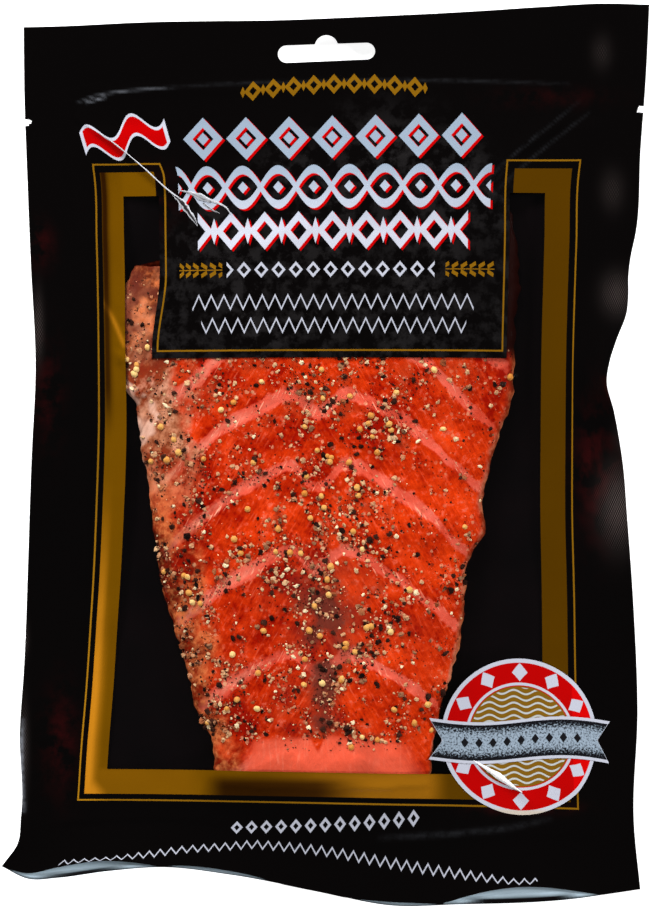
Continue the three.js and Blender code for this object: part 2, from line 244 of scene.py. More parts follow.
def shiftedPlace(tree, place, shift):
    moved = newNode(tree, "ShaderNodeVectorMath", operation="ADD")
    feed(moved, {0: place, 1: shift})
    return moved.outputs[0]


def blendColours(tree, first, second, mask):
    # first where mask is 0 and second where it is 1; each is a colour or a socket.
    mix = newNode(tree, "ShaderNodeMix", data_type="RGBA")
    feed(mix, {0: mask, 6: first, 7: second})
    return mix.outputs[2]


def layered(tree, colour, *layers):
    # Each (mask, colour) pair is laid over what lies below it.
    for mask, above in layers:
        colour = blendColours(tree, colour, above, mask)
    return colour


def mottled(offset, *parts):
    # Noises that lie about a half, each by its weight, summed about the offset and kept from 0 to 1.
    total = offset
    for noise, weight in parts:
        total = (noise - 0.5) * weight + total
    return total.clamped()


def noiseWire(tree, place, scale, detail=3, roughness=0.5, stretch=(1, 1, 1)):
    mapping, noise = newNode(tree, "ShaderNodeMapping"), newNode(tree, "ShaderNodeTexNoise")
    feed(mapping, {"Vector": place, "Scale": stretch})
    feed(noise, {"Vector": mapping.outputs[0], "Scale": scale, "Detail": detail, "Roughness": roughness})
    return Wire(tree, noise.outputs["Fac"])


def startGroup(name, inputs, outputs):
    # A shader node group with named sockets: (name, kind) pairs.
    group = bpy.data.node_groups.new(name, "ShaderNodeTree")
    for side, sockets in (("INPUT", inputs), ("OUTPUT", outputs)):
        for label, kind in sockets:
            group.interface.new_socket(label, in_out=side, socket_type="NodeSocket" + kind)
    return group, newNode(group, "NodeGroupInput"), newNode(group, "NodeGroupOutput")


def startMaterial(name):
    material = bpy.data.materials.new(name)
    material.use_nodes = True
    tree = material.node_tree
    return material, tree, tree.nodes["Principled BSDF"]


def bumpInto(shader, height, distance, strength):
    bump = newNode(shader.id_data, "ShaderNodeBump")
    feed(bump, {"Height": height, "Distance": distance * mm, "Strength": strength})
    feed(shader, {"Normal": bump.outputs[0]})


def seenColour(red, green, blue, light=1.40):
    # The surface colour that looks like these sRGB bytes under the studio's light.
    shares = [byte / 255 for byte in (red, green, blue)]
    linear = [share / 12.92 if share < 0.0404 else ((share + 0.055) / 1.055) ** 2.4 for share in shares]
    return tuple(min(part / light, 0.95) for part in linear)


def wetColour(red, green, blue):
    # The same for what lies under the clear film
    return seenColour(red, green, blue, 1.08)


# The film's places
# Film places are millimetres on the film laid flat, from the middle of its gold frame: s across
# and t towards the header. Plan places x and y are millimetres in the part's own frame.

film = {
    "left": -103.5, "right": 102.5, "top": 156.0, "bottom": -136.0,
    "frameAcross": 80.5, "frameAlong": 107.0,
    "windowLeft": -71.7, "windowRight": 69.7, "windowTop": 96.2, "windowBottom": -96.6,
    "panelLeft": -62.2, "panelRight": 57.8, "panelBottom": 41.5,
    "spacing": 0.8, "fineSpacing": 0.5, "thickness": 0.1,
}

# Plan x of each long line of the film, by plan y
longLines = {
    "leftEdge": [(142.4, -100.4), (118.4, -100.1), (91.8, -99.1), (61.8, -97.8), (28.4, -96.1), (1.8, -97.4),
                 (-34.9, -98.8), (-71.6, -100.1), (-91.6, -101.4), (-119.9, -101.1), (-130.9, -103.1),
                 (-136.9, -107.8)],
    "frameLeft": [(144, -77.9), (96.7, -77.4), (91.7, -76.8), (71.7, -76.1), (31.7, -75.4), (11.7, -75.4),
                  (-18.3, -76.3), (-38.3, -77.1), (-58.3, -78.3), (-78.3, -79.6), (-98.3, -81.3),
                  (-115, -82.4), (-140, -84.6)],
    "frameRight": [(150, 86), (97.7, 84.9), (91.7, 84.2), (71.7, 83.6), (31.7, 82.4), (1.7, 82.2),
                   (-18.3, 82.2), (-48.3, 82.9), (-68.3, 83.2), (-117.7, 84.2), (-146, 84.8)],
    "rightEdge": [(149.8, 107.8), (125.1, 106.6), (101.8, 104.9), (73.4, 103.1), (66, 101.5), (59.5, 100.7),
                  (53, 100.6), (47, 99.9), (38.3, 96.5), (31, 94.1), (24.4, 93.1), (14.4, 95.6), (0.1, 98.3),
                  (-21.6, 100.3), (-48.3, 102.3), (-84.9, 103.9), (-121.6, 102.6), (-144.6, 104.9)],
}

# Plan y of each cross line of the film, by plan x
crossLines = {
    "topEdge": [(-100.4, 142.4), (-85.1, 142.8), (-61.8, 143.9), (-8.4, 144.8), (31.6, 146.4), (71.6, 149.1),
                (91.6, 150.2), (107.8, 149.8)],
    "frameTop": [(-101, 96.5), (-77, 96.7), (0, 97.4), (60, 98), (105, 98.3)],
    "frameBottom": [(-104, -114.6), (-82, -114.8), (0, -115.5), (35, -116.4), (84, -117.9), (104, -118.3)],
    "bottomEdge": [(-107.8, -136.9), (-99.1, -140.9), (-88.4, -140.6), (-71.8, -138.3), (-53.4, -136.9),
                   (-31.8, -139.6), (-5.1, -144.9), (21.6, -150.1), (41.6, -149.6), (78.3, -147.9),
                   (91.6, -146.3), (104.9, -144.6)],
}

# How far the film's edges curl up, by share of the side
edgeLift = {
    "left": [(0, 2), (0.12, 2.5), (0.28, 4), (0.41, 7), (0.5, 5.5), (0.65, 3.5), (0.8, 6), (0.92, 4.5),
             (1, 2)],
    "right": [(0, 3), (0.15, 2.5), (0.28, 4.5), (0.42, 10.6), (0.5, 7), (0.62, 5), (0.78, 2.5), (0.9, 3.5),
              (1, 1.5)],
    "top": [(0, 2), (0.2, 2.6), (0.5, 3), (0.8, 2.6), (1, 3)],
    "bottom": [(0, 2), (0.1, 3.2), (0.27, 5), (0.42, 2.2), (0.6, 1.2), (0.8, 3), (1, 1.5)],
}

# Openings in both films: a line from one place to another and a radius about it
hollows = {
    "hangSlot": (-12.9, 133.4, 13.7, 134.3, 2.9),
    "hangHump": (0.35, 135.8, 0.35, 135.8, 3.9),
    "leftNotch": (-104, 110.6, -99.0, 110.6, 1.1),
    "rightNotch": (110, 115, 105.0, 115, 1.1),
}

# The places along the foot where the films part
lips = [
    {"x": -81, "halfLength": 26, "gap": 1.2, "setback": 4.0},
    {"x": 65, "halfLength": 27, "gap": 1.0, "setback": 5.3},
    {"x": -36, "halfLength": 22, "gap": 0.3, "setback": 1.3},
    {"x": 24, "halfLength": 18, "gap": 0.3, "setback": 1.2},
]


def betweenLines(at, stations, values):
    # Straight from each station's value to the next
    result = values[0] + 0.0 * at
    for start, end, low, high in zip(stations, stations[1:], values, values[1:]):
        result = result + (high - low) * np.clip((at - start) / (end - start), 0, 1)
    return result


def filmPlan(s, t):
    # The cross lines give y at each s, straight between them along t; the long lines then give x at that y.
    p = (s - film["left"]) / (film["right"] - film["left"])
    ends = {"topEdge": (-100.4, 107.8), "frameTop": (-99.3, 104.7), "frameBottom": (-101.2, 102.7),
            "bottomEdge": (-107.8, 104.9)}

    def planY(share, t):
        rows = [throughKnots(a + (b - a) * share, crossLines[name]) for name, (a, b) in ends.items()]
        stations = [-film["top"], -film["frameAlong"], film["frameAlong"], -film["bottom"]]
        return betweenLines(-t, stations, rows)

    columns = [film["left"], -film["frameAcross"], film["frameAcross"], film["right"]]
    shares = [(c - film["left"]) / (film["right"] - film["left"]) for c in columns]
    lines = [throughKnots(planY(share, t), longLines[name]) for share, name in zip(shares, longLines)]
    # the film is drawn in beside the panel's upper left edge
    pull = (3.0 * bell(s, -60, 8) * smoothStep(t, 44, 70) * (1 - smoothStep(t, 102, 114))
            + bell(s, -74, 4.5) * bell(t, 8, 45))
    return betweenLines(s, columns, lines) + pull, planY(p, t)


def backHeight(s, t):
    # Each side's curl, by the square of the way out to that side, less what two sides share at a corner.
    across = (s - film["left"]) / (film["right"] - film["left"])
    down = (film["top"] - t) / (film["top"] - film["bottom"])
    west = np.clip((-s - 64) / (-film["left"] - 64), 0, 1) ** 2
    east = np.clip((s - 62) / (film["right"] - 62), 0, 1) ** 2
    north = np.clip((t - 88) / (film["top"] - 88), 0, 1) ** 2
    south = np.clip((-t - 103) / (-film["bottom"] - 103), 0, 1) ** 2
    height = (west * easedKnots(down, edgeLift["left"]) + east * easedKnots(down, edgeLift["right"])
              + north * easedKnots(across, edgeLift["top"]) + south * easedKnots(across, edgeLift["bottom"]))
    return height - 2 * west * north - 3 * east * north - 2 * west * south - 1.5 * east * south


def openHollows(x, y):
    # Signed distance to the nearest hollow, below zero inside it, and its direction.
    best = np.full(np.shape(x), 1e9)
    towards = np.zeros(np.shape(x) + (2,))
    for ax, ay, bx, by, radius in hollows.values():
        dx, dy = bx - ax, by - ay
        along = np.clip(((x - ax) * dx + (y - ay) * dy) / max(dx * dx + dy * dy, 1e-9), 0, 1)
        offX, offY = x - ax - along * dx, y - ay - along * dy
        reach = np.hypot(offX, offY) + 1e-9
        nearer = reach - radius < best
        best = np.where(nearer, reach - radius, best)
        towards[nearer] = np.stack([offX / reach, offY / reach], -1)[nearer]
    return best, towards


def filmLines(fine):
    # Grid lines of the film: closer together round the hang hole, with one on each printed border.
    step = film["spacing"] * (1 if fine else 1.6)
    near = film["fineSpacing"]
    acrossBreaks = [(film["left"], step), (film["windowLeft"], step), (film["panelLeft"], step), (-24, near),
                    (20, step), (film["panelRight"], step), (film["windowRight"], step),
                    (film["right"], None)]
    downBreaks = [(film["top"], step), (153.5, near), (139.5, step), (film["windowTop"], step),
                  (film["panelBottom"], step), (film["windowBottom"], step), (film["bottom"], None)]
    lines = []
    for breaks in (acrossBreaks, downBreaks):
        line = [np.linspace(a, b, max(2, int(round(abs(b - a) / gap)) + 1))[:-1]
                for (a, gap), (b, _) in zip(breaks[:-1], breaks[1:])]
        lines.append(np.append(np.concatenate(line), breaks[-1][0]))
    return lines


# The fish's form

fish = {
    "base": 1.0, "underside": 0.3, "edge": 3.2, "thickSide": 0.56,
    "crown": [(0, 4.5), (0.08, 8.2), (0.25, 10.4), (0.55, 10.2), (0.8, 8.4), (0.95, 6.6), (1, 4.6)],
    "bandMiddle": -2.4, "bandWidth": 2.7,
    "bands": [68, 45, 21.3, -3.3, -31.7, -65.0, -96.0],
    "chevron": [(0, 6.6), (3, 4.8), (8, 0.2), (13, 1.2), (20, 5), (35, 15.5), (50, 29), (70, 45)],
}

filletSides = {
    "left": [(-64.6, 63.1), (-68.8, 51.8), (-69.4, 36.8), (-67.1, 22.4), (-63.4, 16.8), (-61.8, 3.4),
             (-59.1, -13.3), (-56.8, -29.9), (-55.1, -41.6), (-51.8, -54.3), (-47.1, -68.3),
             (-43.4, -84.3), (-38.1, -96.6), (-36.4, -109.3)],
    "right": [(57.3, 93.4), (62.9, 78.4), (64.6, 58.4), (63.6, 38.4), (62.6, 19.1), (57.3, 3.4),
              (52.9, -14.9), (53.3, -25.6), (48.3, -35.6), (45.9, -54.9), (42.6, -73.3), (39.9, -81.6),
              (36.9, -96.6), (35.3, -109.3)],
    "top": [(-64.6, 63.1), (-53, 62.9), (-41.8, 68.2), (-25.1, 79.1), (-1.8, 91.1), (24.9, 98.1),
            (46.6, 97.8), (57.3, 93.4)],
    "bottom": [(-36.4, -109.3), (-1, -110.3), (35.3, -109.3)],
}


def fishPlan(u, v):
    # A patch between four side curves: both pairs' straight blends, less that of the corners.
    left, right = curveAt(filletSides["left"], v), curveAt(filletSides["right"], v)
    top, bottom = curveAt(filletSides["top"], u), curveAt(filletSides["bottom"], u)
    u, v = np.asarray(u)[..., None], np.asarray(v)[..., None]
    corners = [curveAt(filletSides[side], end) for side in ("top", "bottom") for end in (0.0, 1.0)]
    shares = [(1 - u) * (1 - v), u * (1 - v), (1 - u) * v, u * v]
    return (top * (1 - v) + bottom * v + left * (1 - u) + right * u
            - sum(corner * share for corner, share in zip(corners, shares)))


def fishSwell(u, v):
    # The crown's height at v, times a flat-topped arch across u that peaks at the thick side.
    warped = np.where(u < fish["thickSide"], 0.5 * u / fish["thickSide"],
                      1 - 0.5 * (1 - u) / (1 - fish["thickSide"]))
    arch = np.clip(1 - np.abs(2 * warped - 1) ** 2.4, 0, 1) ** 0.75
    return fish["edge"] + easedKnots(v, fish["crown"]) * arch


def bandPhase(x, y):
    # Which chevron passes here, by its height: its V dips at the middle line, and its arms fall outwards.
    away = np.abs(x - fish["bandMiddle"])
    wobble = 1.6 * softNoise(x, y, 17, 5) + 0.7 * softNoise(x, y, 6, 6)
    return y + wobble + throughKnots(away, fish["chevron"])


def bandTone(x, y):
    # 1 along each pale band between two flakes of flesh, falling off as a bell curve.
    phase = bandPhase(x, y)
    width = fish["bandWidth"] * (1 + 0.25 * softNoise(x, y, 11, 7))
    return np.max([np.exp(-np.abs((phase - level) / width) ** 3) for level in fish["bands"]], axis=0)


def fishHeight(u, v, x, y):
    # The swell, with the pale bands sunk a little, flakes standing proud below each, and a fine unevenness.
    inside = np.clip(np.minimum(np.minimum(u, 1 - u) * 9, np.minimum(v, 1 - v) * 14), 0, 1)
    phase = bandPhase(x, y)
    steps = sum(0.22 * np.exp(-np.clip(level - 1.5 - phase, 0, 40) / 7.0) * (phase < level - 1.5)
                for level in fish["bands"])
    groove = 0.5 * bell(x, fish["bandMiddle"], 3.0)
    rough = 0.16 * softNoise(x, y, 3.1, 8) + 0.07 * softNoise(x, y, 1.3, 9)
    return fishSwell(u, v) - inside * (0.15 * bandTone(x, y) - steps + groove + 0.4) + rough * inside


# The crust

# Each kind's count, radii, height of its middle above the flesh in radii, least density, how rare large ones
# are, and the rings, sectors, jaggedness and flatness of its grains.
crustSeed = 23
crust = {
    "mustard": {"count": 115, "radius": (1.0, 1.4), "sink": -0.1, "spread": 0.14, "smallness": 0.9,
                "rings": 6, "sectors": 9, "jag": 0.06, "flat": 0.25},
    "pepper": {"count": 1500, "radius": (0.3, 1.4), "sink": -0.1, "spread": 0.24, "smallness": 2.6,
               "rings": 4, "sectors": 6, "jag": 0.34, "flat": 0.45},
    "pale": {"count": 1500, "radius": (0.3, 1.35), "sink": -0.3, "spread": 0.18, "smallness": 1.9,
             "rings": 5, "sectors": 8, "jag": 0.32, "flat": 0.5},
    "specks": {"count": 8600, "radius": (0.12, 0.36), "sink": 0.0, "spread": 0.34, "smallness": 1.6,
               "rings": 3, "sectors": 4, "jag": 0.3, "flat": 0.4},
    "lumps": {"count": 90, "radius": (0.9, 2.0), "sink": -0.5, "spread": 0.1, "smallness": 1.6,
              "rings": 7, "sectors": 12, "jag": 0.2, "flat": 0.45},
}


def crustDensity(x, y, u, kind):
    # Thick down the middle and along the left side, thin at the upper right, none on the bare foot.
    middle = 0.85 * bell(x, 2, 26)
    lowerLeft = bell(u, 0.07, 0.15) * smoothStep(-y, -45, 25)
    clump = 0.42 + 0.5 * softNoise(x, y, 8, 31) + 0.75 * softNoise(x, y, 3.0, 32)
    upperLeft = 0.8 * bell(u, 0.06, 0.16) * smoothStep(y, -20, 20)
    bare = smoothStep(y - 3 * smoothStep(np.abs(u - 0.5), 0.3, 0.45), -99, -93)
    spread = crust[kind]["spread"]
    thick = np.maximum(np.maximum(middle, upperLeft), lowerLeft)
    return (spread + (1 - spread) * thick) * np.clip(clump, 0.05, 1.3) * bare


def scatterGrains(kind, number):
    # Draws places on the fish by the density, and keeps the first that are wanted.
    values, random = crust[kind], np.random.default_rng(crustSeed + number)
    tries = values["count"] * 9
    ranges = ((0.004, 0.992), (0.02, 0.99), (0, 1))
    u, v, chance = (random.uniform(start, end, tries) for start, end in ranges)
    place = fishPlan(u, v)
    keep = np.flatnonzero(chance < crustDensity(place[:, 0], place[:, 1], u, kind))[:values["count"]]
    low, high = values["radius"]
    radius = low + (high - low) * random.uniform(0, 1, len(keep)) ** values["smallness"]
    x, y = place[keep].T
    z = fish["base"] + fishHeight(u[keep], v[keep], x, y) + values["sink"] * radius
    return {"centre": np.stack([x, y, z], -1), "radius": radius, "random": random}


def ballTemplate(rings, sectors):
    # A ball of latitude rings: two poles, then rings of points.
    polar = np.linspace(0, math.pi, rings + 1)[1:-1, None]
    turn = np.linspace(0, 2 * math.pi, sectors, endpoint=False)[None, :]
    out = np.sin(polar)
    body = np.stack([out * np.cos(turn), out * np.sin(turn), np.cos(polar) + 0 * turn], -1)
    points = np.concatenate([[[0, 0, 1]], [[0, 0, -1]], body.reshape(-1, 3)])
    ring = lambda k: 2 + k * sectors + np.arange(sectors)
    following = lambda k: 2 + k * sectors + (np.arange(sectors) + 1) % sectors
    faces = [np.stack([np.zeros(sectors, int), ring(0), following(0)], -1),
             np.stack([np.ones(sectors, int), following(rings - 2), ring(rings - 2)], -1)]
    for k in range(rings - 2):
        faces.append(np.stack([ring(k), ring(k + 1), following(k)], -1))
        faces.append(np.stack([following(k), ring(k + 1), following(k + 1)], -1))
    return points, np.concatenate(faces)


def grainShapes(kind, number):
    # Each grain is the ball with its points pushed in and out by up to jag, squashed, turned and moved.
    values, grains = crust[kind], scatterGrains(kind, number)
    random, count = grains["random"], len(grains["radius"])
    ball, faces = ballTemplate(values["rings"], values["sectors"])
    shape = ball[None] * (1 + values["jag"] * random.uniform(-1, 1, (count, len(ball), 1)))
    shape = shape * (1 - values["flat"] * random.uniform(0, 1, (count, 1, 3)))
    turns = random.normal(size=(count, 4))
    w, a, b, c = (turns / np.linalg.norm(turns, axis=1, keepdims=True)).T
    spin = np.array([[1 - 2 * (b * b + c * c), 2 * (a * b - c * w), 2 * (a * c + b * w)],
                     [2 * (a * b + c * w), 1 - 2 * (a * a + c * c), 2 * (b * c - a * w)],
                     [2 * (a * c - b * w), 2 * (b * c + a * w), 1 - 2 * (a * a + b * b)]]).transpose(2, 0, 1)
    turned = np.einsum("nij,nkj->nki", spin, shape)
    points = turned * grains["radius"][:, None, None] + grains["centre"][:, None]
    allFaces = faces[None] + (np.arange(count) * len(ball))[:, None, None]
    tone = np.repeat(random.uniform(0, 1, count), len(ball))
    print(kind, "grains", count)
    return points.reshape(-1, 3), allFaces.reshape(-1, 3), tone


grainMeshes = {kind: grainShapes(kind, number) for number, kind in enumerate(crust)}


# How the film lies on the fish

drape = {
    "cell": 0.5, "grainRadius": 9.0, "edgeRadius": 105.0, "hiddenRadius": 170.0, "clearance": 0.12,
    "halfX": 108.0, "lowY": -150.0, "highY": 142.0, "highest": 13, "panelY": 36.3, "panelX": -54.5,
}


def shifted(height, k, axis, fill):
    # The height field moved k cells along an axis
    moved = np.roll(height, k, axis)
    edge = [slice(None)] * 2
    edge[axis] = slice(0, k) if k > 0 else slice(k, None)
    moved[tuple(edge)] = fill
    return moved


def bridged(height, radius):
    # Closing by a parabola z = -d^2 / 2R: each hollow that is tighter than the radius is spanned.
    reach = int(math.sqrt(2 * radius * drape["highest"]) / drape["cell"])
    drop = lambda k: (k * drape["cell"]) ** 2 / (2 * radius)
    for axis in (0, 1):
        spread = height.copy()
        for k in [k for k in range(-reach, reach + 1) if k]:
            spread = np.maximum(spread, shifted(height, k, axis, -99) - drop(k))
        height = spread
    for axis in (0, 1):
        pressed = height.copy()
        for k in [k for k in range(-reach, reach + 1) if k]:
            pressed = np.minimum(pressed, shifted(height, k, axis, 99) + drop(k))
        height = pressed
    return height


def averaged(height, times):
    # Mean of each cell and its neighbours
    for _ in range(times):
        padded = np.pad(height, 1, mode="edge")
        beside = padded[:-2, 1:-1] + padded[2:, 1:-1] + padded[1:-1, :-2] + padded[1:-1, 2:]
        height = (beside + 2 * height) / 6
    return height


rasterX = np.arange(-drape["halfX"], drape["halfX"], drape["cell"])
rasterY = np.arange(drape["lowY"], drape["highY"], drape["cell"])
denseU, denseV = np.meshgrid(np.linspace(0, 1, 420), np.linspace(0, 1, 620), indexing="ij")
densePlan = fishPlan(denseU, denseV)
denseTop = fish["base"] + fishHeight(denseU, denseV, densePlan[..., 0], densePlan[..., 1])


def rastered(base, x, y, z):
    # The highest point that falls in each cell
    height = base.copy()
    ix = np.clip(((x - rasterX[0]) / drape["cell"]).round().astype(int), 0, len(rasterX) - 1)
    iy = np.clip(((y - rasterY[0]) / drape["cell"]).round().astype(int), 0, len(rasterY) - 1)
    np.maximum.at(height, (ix, iy), z)
    return height


def outsidePanel(points, margin=0.0):
    # True for plan places that the printed panel leaves open to view, and for a margin under it
    return (points[:, 1] < drape["panelY"] + margin) | (points[:, 0] < drape["panelX"] + margin)


ground = np.zeros((len(rasterX), len(rasterY)))
fleshTop = rastered(ground, densePlan[..., 0].ravel(), densePlan[..., 1].ravel(), denseTop.ravel())
crustTop = fleshTop
for kind in ("mustard", "pepper", "pale", "lumps"):
    grainPoints = grainMeshes[kind][0]
    crustTop = rastered(crustTop, *grainPoints[outsidePanel(grainPoints, 3.0)].T)
tight = np.maximum(bridged(crustTop, drape["grainRadius"]), bridged(fleshTop, drape["edgeRadius"]))
wide = bridged(fleshTop, drape["hiddenRadius"])
midX, midY = np.meshgrid(rasterX, rasterY, indexing="ij")
hidden = smoothStep(midY, 28, 58) * (1 - smoothStep(midX, 48, 60)) * (1 - smoothStep(-midX, 60, 74))
filmOverFish = averaged(tight + (np.maximum(tight, wide) - tight) * hidden, 6)
neighbours = [(i, j) for i in (-1, 0, 1) for j in (-1, 0, 1)]
crustSpread = np.max([shifted(shifted(crustTop, i, 0, 0), j, 1, 0) for i, j in neighbours], axis=0)
filmOverFish = averaged(np.maximum(filmOverFish, crustSpread + drape["clearance"] * (crustSpread > 0)), 2)
print("film draped")


def readRaster(raster, x, y):
    # Straight blend of the four cells about a place
    gx = np.clip((x - rasterX[0]) / drape["cell"], 0, len(rasterX) - 1.001)
    gy = np.clip((y - rasterY[0]) / drape["cell"], 0, len(rasterY) - 1.001)
    ix, iy = gx.astype(int), gy.astype(int)
    fx, fy = gx - ix, gy - iy
    return ((raster[ix, iy] * (1 - fx) + raster[ix + 1, iy] * fx) * (1 - fy)
            + (raster[ix, iy + 1] * (1 - fx) + raster[ix + 1, iy + 1] * fx) * fy)


# Folds of the front film: the run of the crest, its height, and its reach on the left and right of the run
folds = {
    "cornerCrease": {"run": [(-84, 113), (-80.1, 110), (-67.8, 101.7), (-54.1, 89), (-49.1, 85),
                             (-42.4, 77), (-38, 71)],
                     "height": 1.7, "left": 4.5, "right": 0.8},
    "cornerBranch": {"run": [(-54, 92), (-51.1, 89.7), (-40.1, 85), (-31.4, 80.7), (-27, 78)],
                     "height": 0.9, "left": 2.4, "right": 0.8},
    "upperRight": {"run": [(86, 119), (76, 112), (64, 102), (51, 94)],
                   "height": 1.1, "left": 1.6, "right": 2.6},
    "upperRightLow": {"run": [(84, 114), (74, 107), (62, 98)],
                      "height": 0.7, "left": 1.4, "right": 1.6},
    "topRidge": {"run": [(-80, 121.5), (-40, 121.8), (10, 122), (55, 123)],
                 "height": 0.5, "left": 1.6, "right": 2.4},
    "leftEdgeFold": {"run": [(-77, 60), (-79, 20), (-80, -40), (-82, -98)],
                     "height": 0.7, "left": 2.2, "right": 1.8},
    "footCrease": {"run": [(-44, -116), (-41, -111), (-37.5, -106)], "height": 0.5, "left": 0.8,
                   "right": 1.2},
    "bandCrease": {"run": [(-74.1, 51), (-70.5, 45), (-66.8, 37)],
                   "height": 0.35, "left": 1.2, "right": 1.4},
    "roundelFold": {"run": [(47, -101), (56, -106), (65, -112), (70, -118)],
                    "height": 1.0, "left": 1.6, "right": 1.6},
    "skirtRight": {"run": [(-10, -127), (20, -129), (52, -127)], "height": 0.4, "left": 2.6, "right": 2.6},
    "skirtLeft": {"run": [(-80, -126), (-60, -125), (-42, -122)], "height": 0.2, "left": 2.2, "right": 2.2},
}


def runReach(run, x, y):
    # Signed distance to a smooth run, above zero on its left, and the share of its length there.
    curve = curveAt(run, np.linspace(0, 1, 41))
    reach, side, share = np.full(np.shape(x), 1e9), np.ones(np.shape(x)), np.zeros(np.shape(x))
    for k, ((ax, ay), (bx, by)) in enumerate(zip(curve[:-1], curve[1:])):
        dx, dy = bx - ax, by - ay
        along = np.clip(((x - ax) * dx + (y - ay) * dy) / (dx * dx + dy * dy), 0, 1)
        away = np.hypot(x - ax - along * dx, y - ay - along * dy)
        nearer = away < reach
        side = np.where(nearer, np.where(dx * (y - ay) - dy * (x - ax) > 0, 1, -1), side)
        share = np.where(nearer, (k + along) / 40, share)
        reach = np.minimum(reach, away)
    return reach * side, share


def foldHeight(x, y):
    # Each fold falls off as exp(-(d / reach)^1.5) on either side of its crest and tapers to its ends.
    height = np.zeros(np.shape(x))
    for fold in folds.values():
        away, share = runReach(fold["run"], x, y)
        taper = np.clip(np.sin(math.pi * np.clip(share, 0.001, 0.999)), 0, 1) ** 0.6
        wide = np.where(away > 0, fold["left"], fold["right"])
        height = height + fold["height"] * taper * np.exp(-(np.abs(away) / wide) ** 1.5)
    return height


def frontHeight(s, t, x, y):
    # Back film, plus the film over the fish, folds and slow waves outside the fish.
    over = readRaster(filmOverFish, x, y)
    free = 1 - smoothStep(over, 0.6, 3.5)
    seal = smoothStep(np.maximum(np.abs(s) - 84, np.maximum(t - 117, -t - 114)), 0, 4)
    waves = 0.45 * softNoise(x, y, 23, 41) + 0.22 * softNoise(x, y, 9, 42)
    rounded = over + free * ((1 - 0.75 * seal) * (waves + 0.5)) + foldHeight(x, y) * (0.5 + 0.5 * free)
    return backHeight(s, t) + 0.16 + np.maximum(rounded, 0)


def lipShare(x):
    # Cosine swell along each lip, 0 outside it
    return [(lip, np.where(np.abs(x - lip["x"]) < lip["halfLength"],
                           np.cos(0.5 * math.pi * (x - lip["x"]) / lip["halfLength"]), 0)) for lip in lips]


def filmSheet(fine, front):
    # Grid of film places and their plan places and heights, with the hollows' rims drawn onto the grid.
    lineS, lineT = filmLines(fine)
    s, t = np.meshgrid(lineS, lineT, indexing="ij")
    x, y = filmPlan(s, t)
    distance, towards = openHollows(x, y)
    near = np.abs(distance) < film["fineSpacing"] * 0.75
    x = np.where(near, x - distance * towards[..., 0], x)
    y = np.where(near, y - distance * towards[..., 1], y)
    z = frontHeight(s, t, x, y) if front else backHeight(s, t)
    if front:
        out = np.clip((-t - 114) / (-film["bottom"] - 114), 0, 1)
        for lip, share in lipShare(x):
            z = z + lip["gap"] * share * out**2
            y = y + lip["setback"] * share * out**4
    middle = lambda a: (a[:-1, :-1] + a[1:, :-1] + a[:-1, 1:] + a[1:, 1:]) / 4
    # cells that the rims squeeze flat are left out
    rising = lambda a: a[1:, 1:] - a[:-1, :-1]
    falling = lambda a: a[:-1, 1:] - a[1:, :-1]
    area = np.abs(rising(x) * falling(y) - rising(y) * falling(x)) / 2
    solid = (openHollows(middle(x), middle(y))[0] > 0) & (area > 0.1 * film["fineSpacing"] ** 2)
    return {"lineS": lineS, "lineT": lineT, "s": s, "t": t, "points": np.stack([x, y, z], -1),
            "solid": solid, "middleS": middle(s), "middleT": middle(t)}


front = filmSheet(True, True)
back = filmSheet(False, False)
print("film grids", front["s"].shape, back["s"].shape)


def onFront(s, t, lift=0.0):
    # A place on the front film by its film place, straight between the grid's points, raised by lift.
    gs = np.interp(s, front["lineS"], np.arange(len(front["lineS"])))
    gt = np.interp(-t, -front["lineT"], np.arange(len(front["lineT"])))
    i = np.minimum(gs.astype(int), len(front["lineS"]) - 2)
    j = np.minimum(gt.astype(int), len(front["lineT"]) - 2)
    fs, ft = (gs - i)[..., None], (gt - j)[..., None]
    grid = front["points"]
    place = ((grid[i, j] * (1 - fs) + grid[i + 1, j] * fs) * (1 - ft)
             + (grid[i, j + 1] * (1 - fs) + grid[i + 1, j + 1] * fs) * ft)
    place[..., 2] += lift
    return place


# Print

inks = {
    "black": seenColour(7, 5, 5), "brightGold": (0.36, 0.165, 0.006),
    "pale": seenColour(161, 178, 198), "red": seenColour(204, 0, 2), "white": seenColour(214, 217, 232),
    # deepRed: red tint with painted red reflection; then the painted cloudy reflection and the painted glints
    # of the press marks
    "deepRed": (0.018, 0.0016, 0.0018), "reflectionGrey": (0.0125, 0.0112, 0.0115), "glintGrey": (0.085, 0.066, 0.062),
    # lightLine: painted light lines; the golds are painted light: lighter left, darker right, a highlight and
    # a shade
    "lightLine": (0.33, 0.35, 0.4), "goldLeft": (0.235, 0.097, 0.0003), "goldRight": (0.128, 0.052, 0.0001),
    "litGold": (0.53, 0.2, 0.0085), "goldShade": (0.035, 0.010, 0.0004),
    # lip: pale painted light on the inner film where the films part
    "innerBlack": (0.0012, 0.0012, 0.0014), "innerBrown": (0.004, 0.0022, 0.0026), "lip": (0.68, 0.87, 1.0),
}


def lozenges(x, y, halfWidth, halfHeight, period, stroke=None):
    # Distance to a row of lozenges |x| / w + |y| / h = 1, or to their outlines when a stroke is given.
    scale = halfWidth * halfHeight / math.hypot(halfWidth, halfHeight)
    distance = (abs(x.celled(period)) / halfWidth + abs(y) / halfHeight - 1.0) * scale
    return distance if stroke is None else abs(distance + stroke / 2) - stroke / 2


def boxed(x, y, halfWidth, halfHeight):
    # Distance to a rectangle about the origin, exact along its sides
    return (abs(x) - halfWidth).highest(abs(y) - halfHeight)


def zigzag(x, y, amplitude, period, stroke):
    # Distance to a line that runs up and down by the amplitude in each period
    wave = x.do("PINGPONG", period / 2) * (4 * amplitude / period) - amplitude
    return (abs(y - wave) - stroke) * (1 / math.sqrt(1 + (4 * amplitude / period) ** 2))


